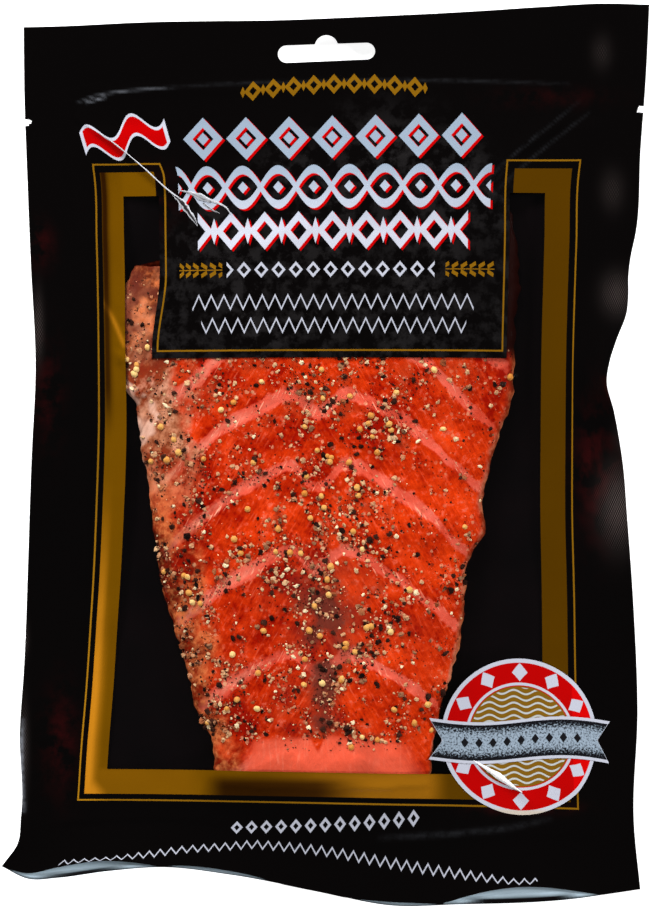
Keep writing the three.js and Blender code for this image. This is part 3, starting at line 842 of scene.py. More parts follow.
# Rows of the print: middle across, height, half length and reach up and down
friezes = {
    "large": (-1.5, 115.4, 49.3, 9), "waves": (-1.7, 98.6, 53, 9), "spiked": (-1.4, 83.9, 45.2, 8),
    "small": (-2.0, 70.8, 34.8, 4), "upperZigzag": (-1.2, 60.0, 47.4, 4),
           "lowerZigzag": (-0.8, 52.2, 44.6, 4),
}


def makeFriezeGroup():
    # The pale rows: lozenge chains, crossing waves and zigzags.
    group, given, wanted = startGroup("pale friezes", [("Place", "Vector")],
                                      [("Bold", "Float"), ("Thin", "Float")])
    s, t, _ = splitField(group, given.outputs[0])

    def row(name, motif):
        # The motif about the row's middle, cut off at its ends
        middle, height, half, reach = friezes[name]
        x, y = s - middle, t - height
        return motif(x, y).highest(boxed(x, y, half, reach))

    def ringed(x, y):
        return lozenges(x, y, 6.5, 7.4, 14.1, 2.3).lowest(lozenges(x, y, 1.9, 2.2, 14.1))

    def crossing(x, y):
        waves = (abs(abs(y) - abs(x.wave(23.6)) * 5.9) - 1.45) * 0.7
        return waves.lowest(lozenges(x + 5.9, y, 1.7, 2.0, 11.8))

    def spiked(x, y):
        return lozenges(x, y, 5.3, 6.4, 11.3, 2.0).lowest(lozenges(x + 5.65, y, 1.3, 4.4, 11.3))

    def chained(x, y):
        return lozenges(x, y, 2.35, 2.7, 5.8, 0.8)

    def pointed(x, y):
        return zigzag(x, y, 2.3, 4.3, 0.5)

    bold = row("large", ringed).lowest(row("waves", crossing)).lowest(row("spiked", spiked))
    thin = row("small", chained).lowest(row("upperZigzag", pointed)).lowest(row("lowerZigzag", pointed))
    # a slanted chain under the gold frame, and a zigzag along the foot's bend
    slanted = t + 114.0 - s * 0.114
    chain = lozenges(s + 0.7, slanted, 1.9, 2.5, 4.7, 0.8).highest(boxed(s + 0.7, slanted, 30.5, 4))
    dip = (1.0 - (s + 57) * (s + 57) * (1 / 1100)).highest(0.0)
    bend = t + 131.6 - (1.0 - (s + 5) * (s + 5) * (1 / 4200)).highest(0.0) * 9.0 + dip * 2.6
    skirt = zigzag(s, bend, 1.5, 3.4, 0.42).highest(boxed(s + 9, bend, 76, 4))
    feed(wanted, {"Bold": bold.inside(), "Thin": thin.lowest(chain).lowest(skirt).inside(0.15)})
    return group


def makeGoldGroup():
    # Gold line round the frame and panel, gold band, arched chain over it and two leaf sprigs.
    group, given, wanted = startGroup("gold print", [("Place", "Vector")],
                                      [("Band", "Float"), ("Line", "Float")])
    s, t, _ = splitField(group, given.outputs[0])
    panel = boxed(s + 2.0, t - 143.9, 58.3, 100)
    frameBox = boxed(s, t, film["frameAcross"], film["frameAlong"])
    line = abs(frameBox.highest(-panel)) - 0.27
    paneX = (film["windowLeft"] + film["windowRight"]) / 2
    paneY = (film["windowTop"] + film["windowBottom"]) / 2
    pane = boxed(s - paneX, t - paneY, film["windowRight"] - paneX, film["windowTop"] - paneY)
    band = boxed(s + 0.25, t + 0.3, 78.35, 104.6).highest(-pane)
    band = band.highest(2.7 - panel)
    arch = t - 130.6 - (1.0 - (s + 1) * (s + 1) * (1 / 1150)) * 3.0
    chain = lozenges(s + 1, arch, 2.9, 3.4, 6.6, 1.25).highest(boxed(s + 1, arch, 29.5, 5))
    tips = lozenges(s + 1 + 3.3, arch, 0.8, 1.9, 6.6).highest(boxed(s + 1, arch, 33, 5))
    sprigs = None
    for centre in (-46.5, 44.7):
        x, y = s - centre, t - 70.8
        leaning = x + abs(y) * (0.7 if centre < 0 else -0.7)
        leaves = (abs(leaning.celled(3.0)) / 1.1 + abs(abs(y) - 1.35) / 1.25 - 1.0) * 0.8
        sprig = leaves.lowest(abs(y) - 0.16).highest(boxed(x, y, 8.2, 3))
        sprigs = sprig if sprigs is None else sprigs.lowest(sprig)
    feed(wanted, {"Band": band.inside(), "Line": line.lowest(chain).lowest(tips).lowest(sprigs).inside()})
    return group


def makeFilmUnevenGroup():
    # Woven press marks of the seals, and the film's own slight unevenness, as a height.
    group, given, wanted = startGroup("film unevenness", [("Place", "Vector")], [("Height", "Float")])
    s, t, _ = splitField(group, given.outputs[0])
    seal = ((abs(s) - 90.0).highest(abs(t) - 122.0) * 0.5).clamped()
    weave = s.wave(1.05) * t.wave(1.05)
    uneven = noiseWire(group, given.outputs[0], 0.16, 3, 0.55)
    patchy = noiseWire(group, given.outputs[0], 0.05, 2, 0.5).above(0.46, 5.0)
    feed(wanted, {"Height": seal * weave * patchy * 0.22 + uneven * 1.2})
    return group


friezeGroup, goldGroup, unevenGroup = makeFriezeGroup(), makeGoldGroup(), makeFilmUnevenGroup()


def placeGroup(tree, group, socket):
    # Puts a group into the tree at one place, and gives its outputs as wires by their names.
    made = newNode(tree, "ShaderNodeGroup", node_tree=group)
    feed(made, {0: socket})
    return {output.name: Wire(tree, output) for output in made.outputs}


def makePrintedFilm():
    # Black film with painted reflection, glints and light lines; over it gold with painted light and shade,
    # the bold rows with a red drop, thin rows and a red wave.
    material, tree, shader = startMaterial("printed film")
    place = readField(tree, "filmPlace")
    s, t, _ = splitField(tree, place)
    gold, pale = placeGroup(tree, goldGroup, place), placeGroup(tree, friezeGroup, place)
    drop = placeGroup(tree, friezeGroup, shiftedPlace(tree, place, (-0.75, 0.6, 0)))
    over, goldHighlight, shade, glint, maroon, streak = readMasks(
        tree, "over", "goldHighlight", "shade", "glint", "maroon", "streak")
    # painted cloudy reflection on the film where it lies over the fish
    reflectionMottle = (noiseWire(tree, place, 0.16, 6, 0.66) * 8.0 - 3.7).clamped() * over
    cloudy = noiseWire(tree, place, 0.05, 2, 0.5).above(0.125, 1.6)
    # dark red patches on the black film: a red tint, with painted red reflection
    sheen = noiseWire(tree, place, 0.12, 4, 0.6).above(0.42, 5.0) * (maroon * 1.2).clamped()
    # painted glints of the woven press marks, in dots
    dots = (s.wave(0.9) * t.wave(1.5) * 2.4 + 0.3).clamped()
    broken = (noiseWire(tree, place, 0.35, 4, 0.6) * 3.0 - 0.8).clamped()
    black = layered(tree, inks["black"],
                    (sheen, inks["deepRed"]),
                    (reflectionMottle * cloudy, inks["reflectionGrey"]),
                    ((glint * dots * 0.9 + glint * 0.1).clamped(), inks["glintGrey"]),
                    (streak * broken, inks["lightLine"]))
    # the gold: lighter on the left and darker to the right as painted light, then a painted highlight and
    # painted shade
    gilt = layered(tree, inks["goldLeft"],
                   ((s * 0.012 + 0.35).clamped(), inks["goldRight"]),
                   (goldHighlight, inks["litGold"]),
                   (shade.clamped(), inks["goldShade"]))
    faded = blendColours(tree, inks["white"], inks["pale"], t.above(84.0, 0.045))
    # the red wave's own places, on a slant
    x, y = (s + 69.5) * 0.97 + (t - 116.5) * 0.24, (t - 116.5) * 0.97 - (s + 69.5) * 0.24
    swash = (abs(y - x.wave(15) * 3.4) - 2.9).highest(abs(x) - 13.0) * 0.7
    colour = layered(tree, black,
                     (gold["Band"], gilt),
                     (gold["Line"], inks["brightGold"]),
                     (drop["Bold"], inks["red"]),
                     (pale["Bold"], faded),
                     (pale["Thin"] * 0.9, inks["white"]),
                     ((swash - 0.8).inside(), inks["white"]),
                     (swash.inside(), inks["red"]))
    metal = gold["Band"].highest(gold["Line"]) * (1.0 - goldHighlight).clamped() * 0.45
    feed(shader, {"Base Color": colour, "Metallic": metal, "Specular IOR Level": 0.4,
                  "Roughness": noiseWire(tree, place, 0.07, 4, 0.6) * 0.14 + 0.08})
    bumpInto(shader, placeGroup(tree, unevenGroup, place)["Height"], 0.12, 0.8)
    return material


def makeInnerFilm():
    # Nearly black, with pale painted light along the parted lips
    material, tree, shader = startMaterial("inner film")
    place = readField(tree, "filmPlace")
    tone = noiseWire(tree, place, 0.05, 3, 0.5)
    # painted light on the inner film where the films part
    lip = readMasks(tree, "lip")[0].clamped()
    colour = layered(tree, inks["innerBlack"], (tone, inks["innerBrown"]), (lip, inks["lip"]))
    feed(shader, {"Base Color": colour, "Roughness": 0.14})
    bumpInto(shader, placeGroup(tree, unevenGroup, place)["Height"], 0.12, 0.6)
    return material


def makeClearFilm():
    # Mostly seen through; the mirror share is little straight on, and grows as the fifth power of the slant.
    material, tree, shader = startMaterial("clear film")
    place = readField(tree, "filmPlace")
    feed(shader, {"Base Color": (0.92, 0.93, 0.95), "Metallic": 1.0,
                  "Roughness": noiseWire(tree, place, 0.5, 2, 0.5) * 0.08 + 0.06})
    bumpInto(shader, placeGroup(tree, unevenGroup, place)["Height"], 0.08, 0.6)
    through = newNode(tree, "ShaderNodeBsdfTransparent")
    glance = newNode(tree, "ShaderNodeLayerWeight")
    mix = newNode(tree, "ShaderNodeMixShader")
    feed(through, {"Color": (0.985, 0.98, 0.975)})
    feed(glance, {"Blend": 0.5})
    mirrored = (Wire(tree, glance.outputs["Facing"]).do("POWER", 5.0) * 0.6 + 0.013).clamped()
    feed(mix, {0: mirrored, 1: through.outputs[0], 2: shader.outputs[0]})
    feed(tree.nodes["Material Output"], {"Surface": mix.outputs[0]})
    return material


fleshColours = {
    "deep": (152, 16, 2), "bright": (240, 66, 12), "smudge": (222, 92, 56), "deepCoral": (214, 72, 48),
    "coral": (242, 112, 92), "pink": (246, 158, 134), "strand": (250, 170, 140), "fleck": (230, 122, 100),
    "tanBit": (206, 104, 76), "paleBit": (236, 178, 136), "darkBit": (74, 26, 16), "stain": (134, 44, 22),
    "foot": (238, 94, 66), "paleFoot": (252, 150, 122), "darkMeat": (132, 62, 34), "meat": (214, 140, 102),
    "lightMeat": (230, 170, 146), "fat": (236, 186, 164), "darkShell": (76, 26, 12), "shell": (214, 114, 64),
    "brown": (102, 46, 36), "shadow": (30, 8, 6),
}


def pressedBits(tree, coordinates, crumbs):
    # Small bits pressed flat into the surface: warped cells, each with its own size and its own pick.
    swirl = newNode(tree, "ShaderNodeTexNoise")
    warp = newNode(tree, "ShaderNodeVectorMath", operation="SCALE")
    cells = newNode(tree, "ShaderNodeTexVoronoi")
    feed(swirl, {"Vector": coordinates, "Scale": 900})
    feed(warp, {0: swirl.outputs["Color"], "Scale": 0.0011})
    feed(cells, {"Vector": shiftedPlace(tree, coordinates, warp.outputs[0]), "Scale": 560})
    pick, size, _ = splitField(tree, cells.outputs["Color"])
    bits = ((size * 0.3 + 0.16 - Wire(tree, cells.outputs["Distance"])) * 9.0).clamped()
    return bits * (crumbs * 2.4 - 0.12).clamped(), pick


def makeFlesh():
    # Fibres run up and in towards the middle line; bands, bits, belly, crust and bare foot lie over them.
    material, tree, shader = startMaterial("salmon flesh")
    look = {name: wetColour(*seen) for name, seen in fleshColours.items()}
    coordinates = newNode(tree, "ShaderNodeTexCoord").outputs["Object"]
    along = readField(tree, "fibrePlace")
    band, belly, crusted, dark, foot, stain, crumbs, shadowed = readMasks(
        tree, "band", "belly", "crusted", "dark", "foot", "stain", "crumbs", "shadowed")
    fibre = noiseWire(tree, along, 1.1, 3, 0.6, (1.0, 0.12, 1.0))
    thread = noiseWire(tree, along, 0.5, 2, 0.5, (1.0, 0.16, 1.0))
    blotch = noiseWire(tree, coordinates, 85, 4, 0.6)
    fine = noiseWire(tree, coordinates, 520, 3, 0.6)
    broad = noiseWire(tree, coordinates, 28, 3, 0.55)
    upright = noiseWire(tree, coordinates, 900, 3, 0.6, (1.0, 0.16, 0.5))
    bits, pick = pressedBits(tree, coordinates, crumbs)
    tone = mottled(0.4, (fibre, 0.9), (blotch, 2.2), (broad, 1.2), (fine, 1.1), (stain, -0.2))
    banded = mottled(band * 2.6 - 1.04, (fine, 2.34), (thread, 2.6), (blotch, 2.86)) * broad.above(0.22, 3.6)
    coral = blendColours(tree, look["deepCoral"], look["coral"], mottled(0.5, (blotch, 3.0)))
    pink = band.above(1.0, 2.6) * thread.above(0.3, 3.0) * (blotch * 3.0 - 0.8).clamped()
    strands = fibre.above(0.6, 8.0) * (band * 1.1 + 0.13)
    flecks = fine.above(0.58, 9.0) * blotch.above(0.4, 5.0)
    palerFoot = foot * upright.above(0.52, 5.0) * (blotch * 2.0 - 0.6).clamped() * 0.5
    lightBit = blendColours(tree, look["tanBit"], look["paleBit"], pick.above(0.4, 3.0))
    meat = layered(tree, look["darkMeat"],
                   (mottled(0.4, (thread, 2.0), (blotch, 4.0), (fine, 1.5)), look["meat"]),
                   (mottled(-0.1, (thread, 2.0), (blotch, 4.0), (fine, 2.0), (broad, 4.0)) * 0.5,
                    look["lightMeat"]),
                   (((belly - 1.0) * (thread * 1.7)).clamped(), look["fat"]))
    shell = blendColours(tree, look["darkShell"], look["shell"], mottled(0.42, (blotch, 4.0), (fine, 2.5)))
    colour = layered(tree, look["deep"],
                     (tone, look["bright"]),
                     (blotch.above(0.54, 7.0) * thread.above(0.38, 3.0) * 0.55, look["smudge"]),
                     (banded * 0.92, coral),
                     (pink * 0.75, look["pink"]),
                     (strands.clamped(), look["strand"]),
                     (flecks * 0.6, look["fleck"]),
                     (bits * pick.above(0.36, 20.0) * 0.85, lightBit),
                     (bits * ((0.24 - pick) * 20.0).clamped() * 0.9, look["darkBit"]),
                     (blotch.above(0.47, 7.0) * (stain - 0.25).clamped() * 0.75, look["stain"]),
                     ((foot * 0.92).clamped(), look["foot"]),
                     (palerFoot.clamped(), look["paleFoot"]),
                     ((belly * (blotch * 2.2 - 0.1)).clamped(), meat),
                     ((crusted * (fine * 1.7)).clamped(), shell),
                     ((dark * (fine * 1.5 + 0.35)).clamped() * 0.92, look["brown"]),
                     (shadowed.clamped(), look["shadow"]))
    feed(shader, {"Base Color": colour, "Specular IOR Level": 0.06, "Roughness": fine * 0.3 + 0.3})
    bumpInto(shader, fibre + fine, 0.3, 0.6)
    return material


def makeGrain(name, dark, light, other, roughness, depth):
    # A grain's own tone picks its colour between two, with a third for the last fifth; noise mottles it.
    material, tree, shader = startMaterial(name)
    coordinates = newNode(tree, "ShaderNodeTexCoord").outputs["Object"]
    tone = readMasks(tree, "tone")[0]
    mottle = noiseWire(tree, coordinates, 900, 3, 0.6)
    colour = layered(tree, wetColour(*dark),
                     (mottled(tone * 0.9 + 0.05, (mottle, 1.1)), wetColour(*light)),
                     (mottled((tone - 0.78) * 12.0, (mottle, 5.0)), wetColour(*other)))
    feed(shader, {"Base Color": colour, "Specular IOR Level": 0.25, "Roughness": mottle * 0.3 + roughness})
    bumpInto(shader, mottle, depth, 0.7)
    return material


# The pieces

printedFilm, innerFilm, clearFilm = makePrintedFilm(), makeInnerFilm(), makeClearFilm()


# Where painted glints lie on the press marks, and where red shows as a tint with painted reflection: plan
# place, half width, half height and strength
pressGlints = [(97, 53.5, 4.5, 6, 0.5), (95.5, 88, 3.5, 6, 0.22), (97.5, -17, 5.5, 11, 0.85),
               (99, 6, 3, 6, 0.25), (-95.5, 42, 1.6, 10, 0.5), (-100.2, -61, 1.2, 5, 0.6),
               (-100.2, -97, 1.4, 13, 0.5), (92, 134, 3, 5, 0.2)]
maroonPatches = [(90, -5, 6, 18, 1), (-95, 70, 4, 6, 0.8), (75, 119, 16, 3, 0.35), (-92, 20, 4, 14, 0.7),
                 (-88, -95, 5, 14, 0.8), (66, -117.5, 13, 2, 1), (-60, 84, 9, 10, 0.5)]
creaseGleam = [(-74.4, 51.5), (-72.5, 48.5), (-70, 44), (-66.8, 36.5)]
# Thin light lines where folds and rims of the film catch the light: plan places, half width and strength
lightRuns = [
    {"run": [(-82.4, 117.3), (-79.1, 118.7), (-74.8, 120), (-65.1, 121.3), (-50, 122.5)], "half": 0.32,
     "strength": 0.22},
    {"run": [(-79.8, 117.4), (-76.5, 118.3), (-73.1, 119.1)], "half": 0.35, "strength": 0.6},
    {"run": [(-55, 122), (-29.8, 123.7), (10, 124.4), (50, 124.4), (81, 123.6)], "half": 0.5,
     "strength": 0.03},
    {"run": [(84.6, 117.7), (64.9, 101.7), (49.9, 88.3)], "half": 0.4, "strength": 0.03},
    {"run": [(88.2, 114.3), (68.2, 98.3), (56, 87)], "half": 0.4, "strength": 0.03},
    {"run": [(-100.6, -88), (-101, -97), (-101, -108), (-100.3, -118)], "half": 0.7, "strength": 0.75},
    {"run": [(18.2, -127.3), (42.1, -126.1), (60, -124.3), (74.9, -121.3)], "half": 0.9, "strength": 0.03},
]


def gildingLightAndShade(s, t, x, y):
    # Where the gold gets a painted highlight (left side, its corner, foot and a crease), and where painted
    # shade lies on it.
    foot = smoothStep(-y, 103.5, 107) * smoothStep(y, -122, -113) * (1 - smoothStep(np.abs(x), 33, 42))
    side = 0.35 * smoothStep(-s, 73.4, 76) * smoothStep(-y, 40, 80) + 0.6 * smoothStep(-s, 75.2, 77.4)
    fromCorner = np.hypot(np.clip(s + 70, -99, 0), np.clip(t + 97, -99, 0))
    corner = 0.9 * smoothStep(fromCorner, 4, 9.2) * smoothStep(-t, 94, 98) * smoothStep(-s, 69, 76)
    below = 0.14 * smoothStep(-t, 96, 97) * (1 - smoothStep(x, -48, -36))
    goldHighlight = np.max([side * smoothStep(-y, 2, 55), corner, below, foot * 0.55 * smoothStep(x, -30, 12)], axis=0)
    crease = bell(runReach(creaseGleam, x, y)[0], 0, 0.8)
    shade = (bell(s, -77.7, 1.3) * smoothStep(y, 2, 24)
             + 0.13 * smoothStep(-s, 71, 73) * smoothStep(y, 45, 65)
             + 0.95 * foot * smoothStep(-t, 96.8, 101) * (1 - smoothStep(x, -4, 18)))
    return np.clip(goldHighlight + crease * 0.6, 0, 1), shade


def lightStreak(line, x, y):
    away, along = runReach(line["run"], x, y)
    taper = np.sin(math.pi * np.clip(along, 0.02, 0.98)) ** 0.5
    return line["strength"] * taper * bell(away, 0, line["half"])


def filmField(sheet, printed=False):
    # Each point's film place, and on the printed film the masks of its painted light and shade and of its red
    # tint.
    s, t, (x, y, _) = sheet["s"], sheet["t"], np.moveaxis(sheet["points"], -1, 0)
    fields = {"filmPlace": np.stack([s, t, 0 * s], -1).reshape(-1, 3)}
    if printed:
        marks = {"over": smoothStep(readRaster(filmOverFish, x, y), 3, 7) * smoothStep(y, -104, -96)}
        marks["goldHighlight"], marks["shade"] = gildingLightAndShade(s, t, x, y)
        for name, spots in (("glint", pressGlints), ("maroon", maroonPatches)):
            share = [power * bell(x, cx, w) * bell(y, cy, h) for cx, cy, w, h, power in spots]
            marks[name] = np.max(share, axis=0)
        marks["streak"] = np.max([lightStreak(line, x, y) for line in lightRuns], axis=0)
        fields.update({name: mark.ravel() for name, mark in marks.items()})
    return fields


def inWindow(sheet):
    # Cells of the clear window: inside the gold band and outside the printed panel
    s, t = sheet["middleS"], sheet["middleT"]
    pane = (s > film["windowLeft"]) & (s < film["windowRight"])
    pane &= (t > film["windowBottom"]) & (t < film["windowTop"])
    panel = (s > film["panelLeft"]) & (s < film["panelRight"]) & (t > film["panelBottom"])
    return pane & ~panel


clear = inWindow(front)
frontPoints = front["points"].reshape(-1, 3)
shape = front["s"].shape
frontFilm = buildPiece("front_film", frontPoints, gridFaces(*shape, front["solid"] & ~clear), printedFilm,
                       filmField(front, True))
buildPiece("window_film", frontPoints, gridFaces(*shape, clear), clearFilm, filmField(front))


def makeBackFilm():
    # The back grid with a film's thickness given below it by Solidify, and with pale painted light where the
    # films part.
    points = back["points"].reshape(-1, 3) + [0, 0, film["thickness"]]
    parted = sum(lip["setback"] * share for lip, share in lipShare(back["points"][..., 0]))
    inward = (back["t"] - film["bottom"]) / np.maximum(parted, 0.05)
    fields = filmField(back)
    # a pale band of painted light across each parted lip
    pale = smoothStep(parted, 0.1, 0.6) * smoothStep(inward, 0.3, 0.62) * (1 - smoothStep(inward, 1.6, 2.6))
    fields["lip"] = pale.ravel()
    piece = buildPiece("back_film", points, gridFaces(*back["s"].shape, back["solid"]), innerFilm, fields)
    wall = piece.modifiers.new("film", "SOLIDIFY")
    wall.thickness, wall.offset = film["thickness"] * mm, -1


makeBackFilm()


def fishMasks(u, v, x, y):
    # Masks from 0 to about 1 that tell the flesh's material where each of its looks lies.
    ragged = u + 0.05 * softNoise(x, y, 7, 53) + 0.02 * softNoise(x, y, 2.5, 55)
    leftRim = smoothStep(0.2 - ragged, 0, 0.08)
    masks = {"crumbs": np.clip(crustDensity(x, y, u, "specks"), 0, 1)}
    masks["stain"] = np.clip(crustDensity(x, y, u, "lumps") * 1.6 + 0.7 * smoothStep(y, -5, 38), 0, 1)
    # pale bands, stronger on the left
    stronger = 1 + 0.4 * smoothStep(-x, 8, 40)
    masks["band"] = bandTone(x, y) * smoothStep(np.minimum(u, 1 - u), 0, 0.03) * stronger
    # pale belly meat up the left side, and the fat along its very rim
    fat = smoothStep(0.018 - ragged, 0, 0.018) * smoothStep(y, -14, -4) * (1 - smoothStep(y, 26, 32))
    masks["belly"] = (smoothStep(0.165 - ragged, 0, 0.08) * smoothStep(y, -26, 8)
                      + 0.6 * smoothStep(u, 0.975, 0.995) + 0.9 * fat)
    # smoked crust along the lower left edge, the right edge and the belly's top
    masks["crusted"] = (smoothStep(0.10 - ragged, -0.04, 0.07) * smoothStep(-y, -6, 30)
                        + 0.8 * smoothStep(u, 0.985, 1) + 0.85 * leftRim * smoothStep(y, 24, 38))
    # brown meat on the lower middle line, at the belly's top and in faint patches
    patch = bell(x, -0.2, 4.6) * smoothStep(-y, 44, 58) + 0.75 * bell(x, -1, 12) * bell(y, -50, 12)
    low = patch * smoothStep(y, -96, -88) * np.clip(0.8 + 0.8 * softNoise(x, y, 6, 54), 0, 1)
    high = leftRim * smoothStep(y, 26, 38) * np.clip(0.6 + 0.9 * softNoise(x, y, 3, 63), 0, 1)
    faint = bell(x, 3, 24) * smoothStep(-y, 20, 50) * np.clip(softNoise(x, y, 7, 59) + 0.2, 0, 1)
    masks["dark"] = 1.25 * low + 0.75 * high + 0.3 * faint
    # shade beside the printed panel
    masks["shadowed"] = np.maximum(smoothStep(y, 29, 36) * smoothStep(x, 53, 57),
                                   smoothStep(y, 62.6, 63.1) * smoothStep(x, -63, -60.5))
    # bare foot, with a wavy upper edge that dips at the middle line
    dip = 0.0032 * (x + 2) ** 2 + 6.4 * bell(x, -2.4, 1.9)
    leftEdge = smoothStep(ragged + 0.012 * (-y - 103), 0.06, 0.2)
    rightEdge = smoothStep(1 - u + 0.01 * (-y - 103), 0.03, 0.16)
    masks["foot"] = smoothStep(-y - 2.5 * softNoise(x, y, 9, 56) - dip, 91.7, 94.1) * leftEdge * rightEdge
    return masks


def makeFish():
    # Top grid over the fish's patch, its rim drawn in raggedly, with a wall down to a flat floor.
    n, m = 216, 330
    u, v = np.meshgrid(np.linspace(0, 1, n), np.linspace(0, 1, m), indexing="ij")
    x, y = np.moveaxis(fishPlan(u, v), -1, 0)
    rag = 0.9 * softNoise(x, y, 5, 51) + 0.7 * softNoise(x, y, 1.9, 52)
    hug = np.exp(-np.minimum(np.minimum(u, 1 - u) * 120, np.minimum(v, 1 - v) * 200) / 2.5)
    x, y = x - np.sign(x) * hug * (0.5 + rag * 0.8), y - 0.3 * hug * rag
    top = np.stack([x, y, fish["base"] + fishHeight(u, v, x, y)], -1)
    top[..., 2] -= np.clip(1 - np.minimum(u, 1 - u) * 130 / 2.2, 0, 1) ** 2 * 1.5
    under = top.copy()
    under[..., 2] = fish["underside"]
    points = np.concatenate([top.reshape(-1, 3), under.reshape(-1, 3)])
    ids = np.arange(n * m).reshape(n, m)
    rim = np.concatenate([ids[0, :-1], ids[:-1, -1], ids[-1, :0:-1], ids[:0:-1, 0]])
    following = np.roll(rim, -1)
    wall = np.stack([rim, rim + n * m, following + n * m, following], -1)
    floor = np.stack([ids[0, :-1], ids[-1, :-1], ids[-1, 1:], ids[0, 1:]], -1) + n * m
    faces = np.concatenate([gridFaces(n, m), wall, floor])
    fields = {name: np.tile(mask.ravel(), 2) for name, mask in fishMasks(u, v, x, y).items()}
    away = np.abs(x - fish["bandMiddle"])
    fibre = np.stack([0.87 * away + 0.5 * y, 0.87 * y - 0.5 * away, 0 * x], -1).reshape(-1, 3)
    fields["fibrePlace"] = np.concatenate([fibre, fibre])
    return buildPiece("fish", points, faces, makeFlesh(), fields)


fishPiece = makeFish()

# Dark, light and odd colour of each kind of grain, its least roughness and the depth of its relief
grainLooks = {
    "mustard": ((208, 132, 56), (236, 184, 104), (244, 206, 134), 0.3, 0.1),
    "pepper": ((12, 8, 8), (70, 38, 28), (152, 104, 74), 0.42, 0.25),
    "pale": ((186, 112, 76), (226, 194, 146), (246, 226, 184), 0.35, 0.3),
    "specks": ((18, 10, 9), (90, 36, 24), (236, 150, 118), 0.5, 0.1),
    "lumps": ((120, 56, 30), (206, 128, 84), (216, 178, 136), 0.4, 0.5),
}
for kind, (points, faces, tone) in grainMeshes.items():
    shown = outsidePanel(points[faces[:, 0]])
    look = makeGrain(kind + " grains", *grainLooks[kind])
    buildPiece("crust_" + kind, points, faces[shown], look, {"tone": tone}, smooth=kind == "mustard")


# The roundel and its ribbon

roundel = {"s": 62.1, "t": -83.6, "radius": 25.8, "lift": 0.2, "rings": 44, "sectors": 150}


def makeRoundelLook():
    # Red disc with a white rim and lozenges, and a rippled field inside a white ring
    material, tree, shader = startMaterial("roundel print")
    place = readField(tree, "roundelPlace")
    x, y, _ = splitField(tree, place)
    radius = (x * x + y * y).do("SQRT")
    around = (y.do("ARCTAN2", x) * (12 / (2 * math.pi))).celled(1.0) * (2 * math.pi * 21.3 / 12)
    studs = (abs(around) / 2.6 + abs(radius - 21.3) / 3.0 - 1.0) * 1.8
    ripples = (abs((y + x.wave(8) * 0.7).celled(2.1)) - 0.32).highest(radius - 16.2)
    rim = blendColours(tree, inks["white"], seenColour(222, 205, 180), (-y).above(23.5, 0.8) * 0.8)
    colour = layered(tree, seenColour(202, 2, 2),
                     # the red lighter right of a fold: painted light
                     (x.above(17.0, 3.0), seenColour(232, 4, 4)),
                     ((abs(radius - 25.2) - 0.75).inside(), rim),
                     (studs.inside(), inks["white"]),
                     ((radius - 16.6).inside(), seenColour(140, 100, 22)),
                     (ripples.inside(), seenColour(208, 214, 214)),
                     ((abs(radius - 17.4) - 0.45).inside(), inks["white"]))
    feed(shader, {"Base Color": colour, "Roughness": 0.2})
    bumpInto(shader, noiseWire(tree, place, 0.2, 3, 0.5), 0.1, 0.6)
    return material


def makeRoundel():
    # Rings of points about the roundel's middle, laid on the front film
    ring, turn = np.meshgrid(np.linspace(0.02, 1, roundel["rings"]) * roundel["radius"],
                             np.linspace(0, 2 * math.pi, roundel["sectors"] + 1), indexing="ij")
    x, y = ring * np.cos(turn), ring * np.sin(turn)
    points = onFront(roundel["s"] + x, roundel["t"] + y, roundel["lift"])
    buildPiece("roundel", points.reshape(-1, 3), gridFaces(*ring.shape), makeRoundelLook(),
               {"roundelPlace": np.stack([x, y, 0 * x], -1).reshape(-1, 3)})


def makeRibbonLook():
    # Speckled grey, darker towards both long sides, with a pale border and a row of small dark lozenges
    material, tree, shader = startMaterial("ribbon print")
    place = readField(tree, "ribbonPlace")
    x, y, _ = splitField(tree, place)
    speckle = noiseWire(tree, place, 1.5, 4, 0.75)
    share = ((speckle - 0.47) * 8.0 + 0.75 - (abs(y) * 0.17).do("POWER", 3.0) * 2.4).clamped()
    studs = lozenges(x, y, 1.25, 1.7, 4.6).highest(abs(x) - 22.0)
    border = (5.9 - abs(y)).lowest(abs(y) * 0.65 - abs(x) + 25.6)
    colour = layered(tree, (0.006, 0.006, 0.008),
                     (share, seenColour(172, 190, 208)),
                     (studs.inside(), (0.008, 0.008, 0.01)),
                     (border.inside(), inks["white"]))
    feed(shader, {"Base Color": colour, "Roughness": 0.2})
    bumpInto(shader, noiseWire(tree, place, 0.3, 3, 0.5), 0.1, 0.6)
    return material


def makeRibbon():
    # A gently waved strip across the roundel, with a notch cut into each end
    along, aside = np.meshgrid(np.linspace(-1, 1, 150), np.linspace(-1, 1, 36), indexing="ij")
    reach = 30.2 - 4.5 * (1 - np.abs(aside)) * np.abs(along) ** 6
    x, y = along * reach, -aside * 6.9
    wave = 1.3 * np.sin(x / 30 * math.pi)
    points = onFront(roundel["s"] + x + 0.3, roundel["t"] - 1.2 + y + wave, roundel["lift"] + 0.15)
    buildPiece("ribbon", points.reshape(-1, 3), gridFaces(*along.shape), makeRibbonLook(),
               {"ribbonPlace": np.stack([x, y, 0 * x], -1).reshape(-1, 3)})


makeRoundel()
makeRibbon()
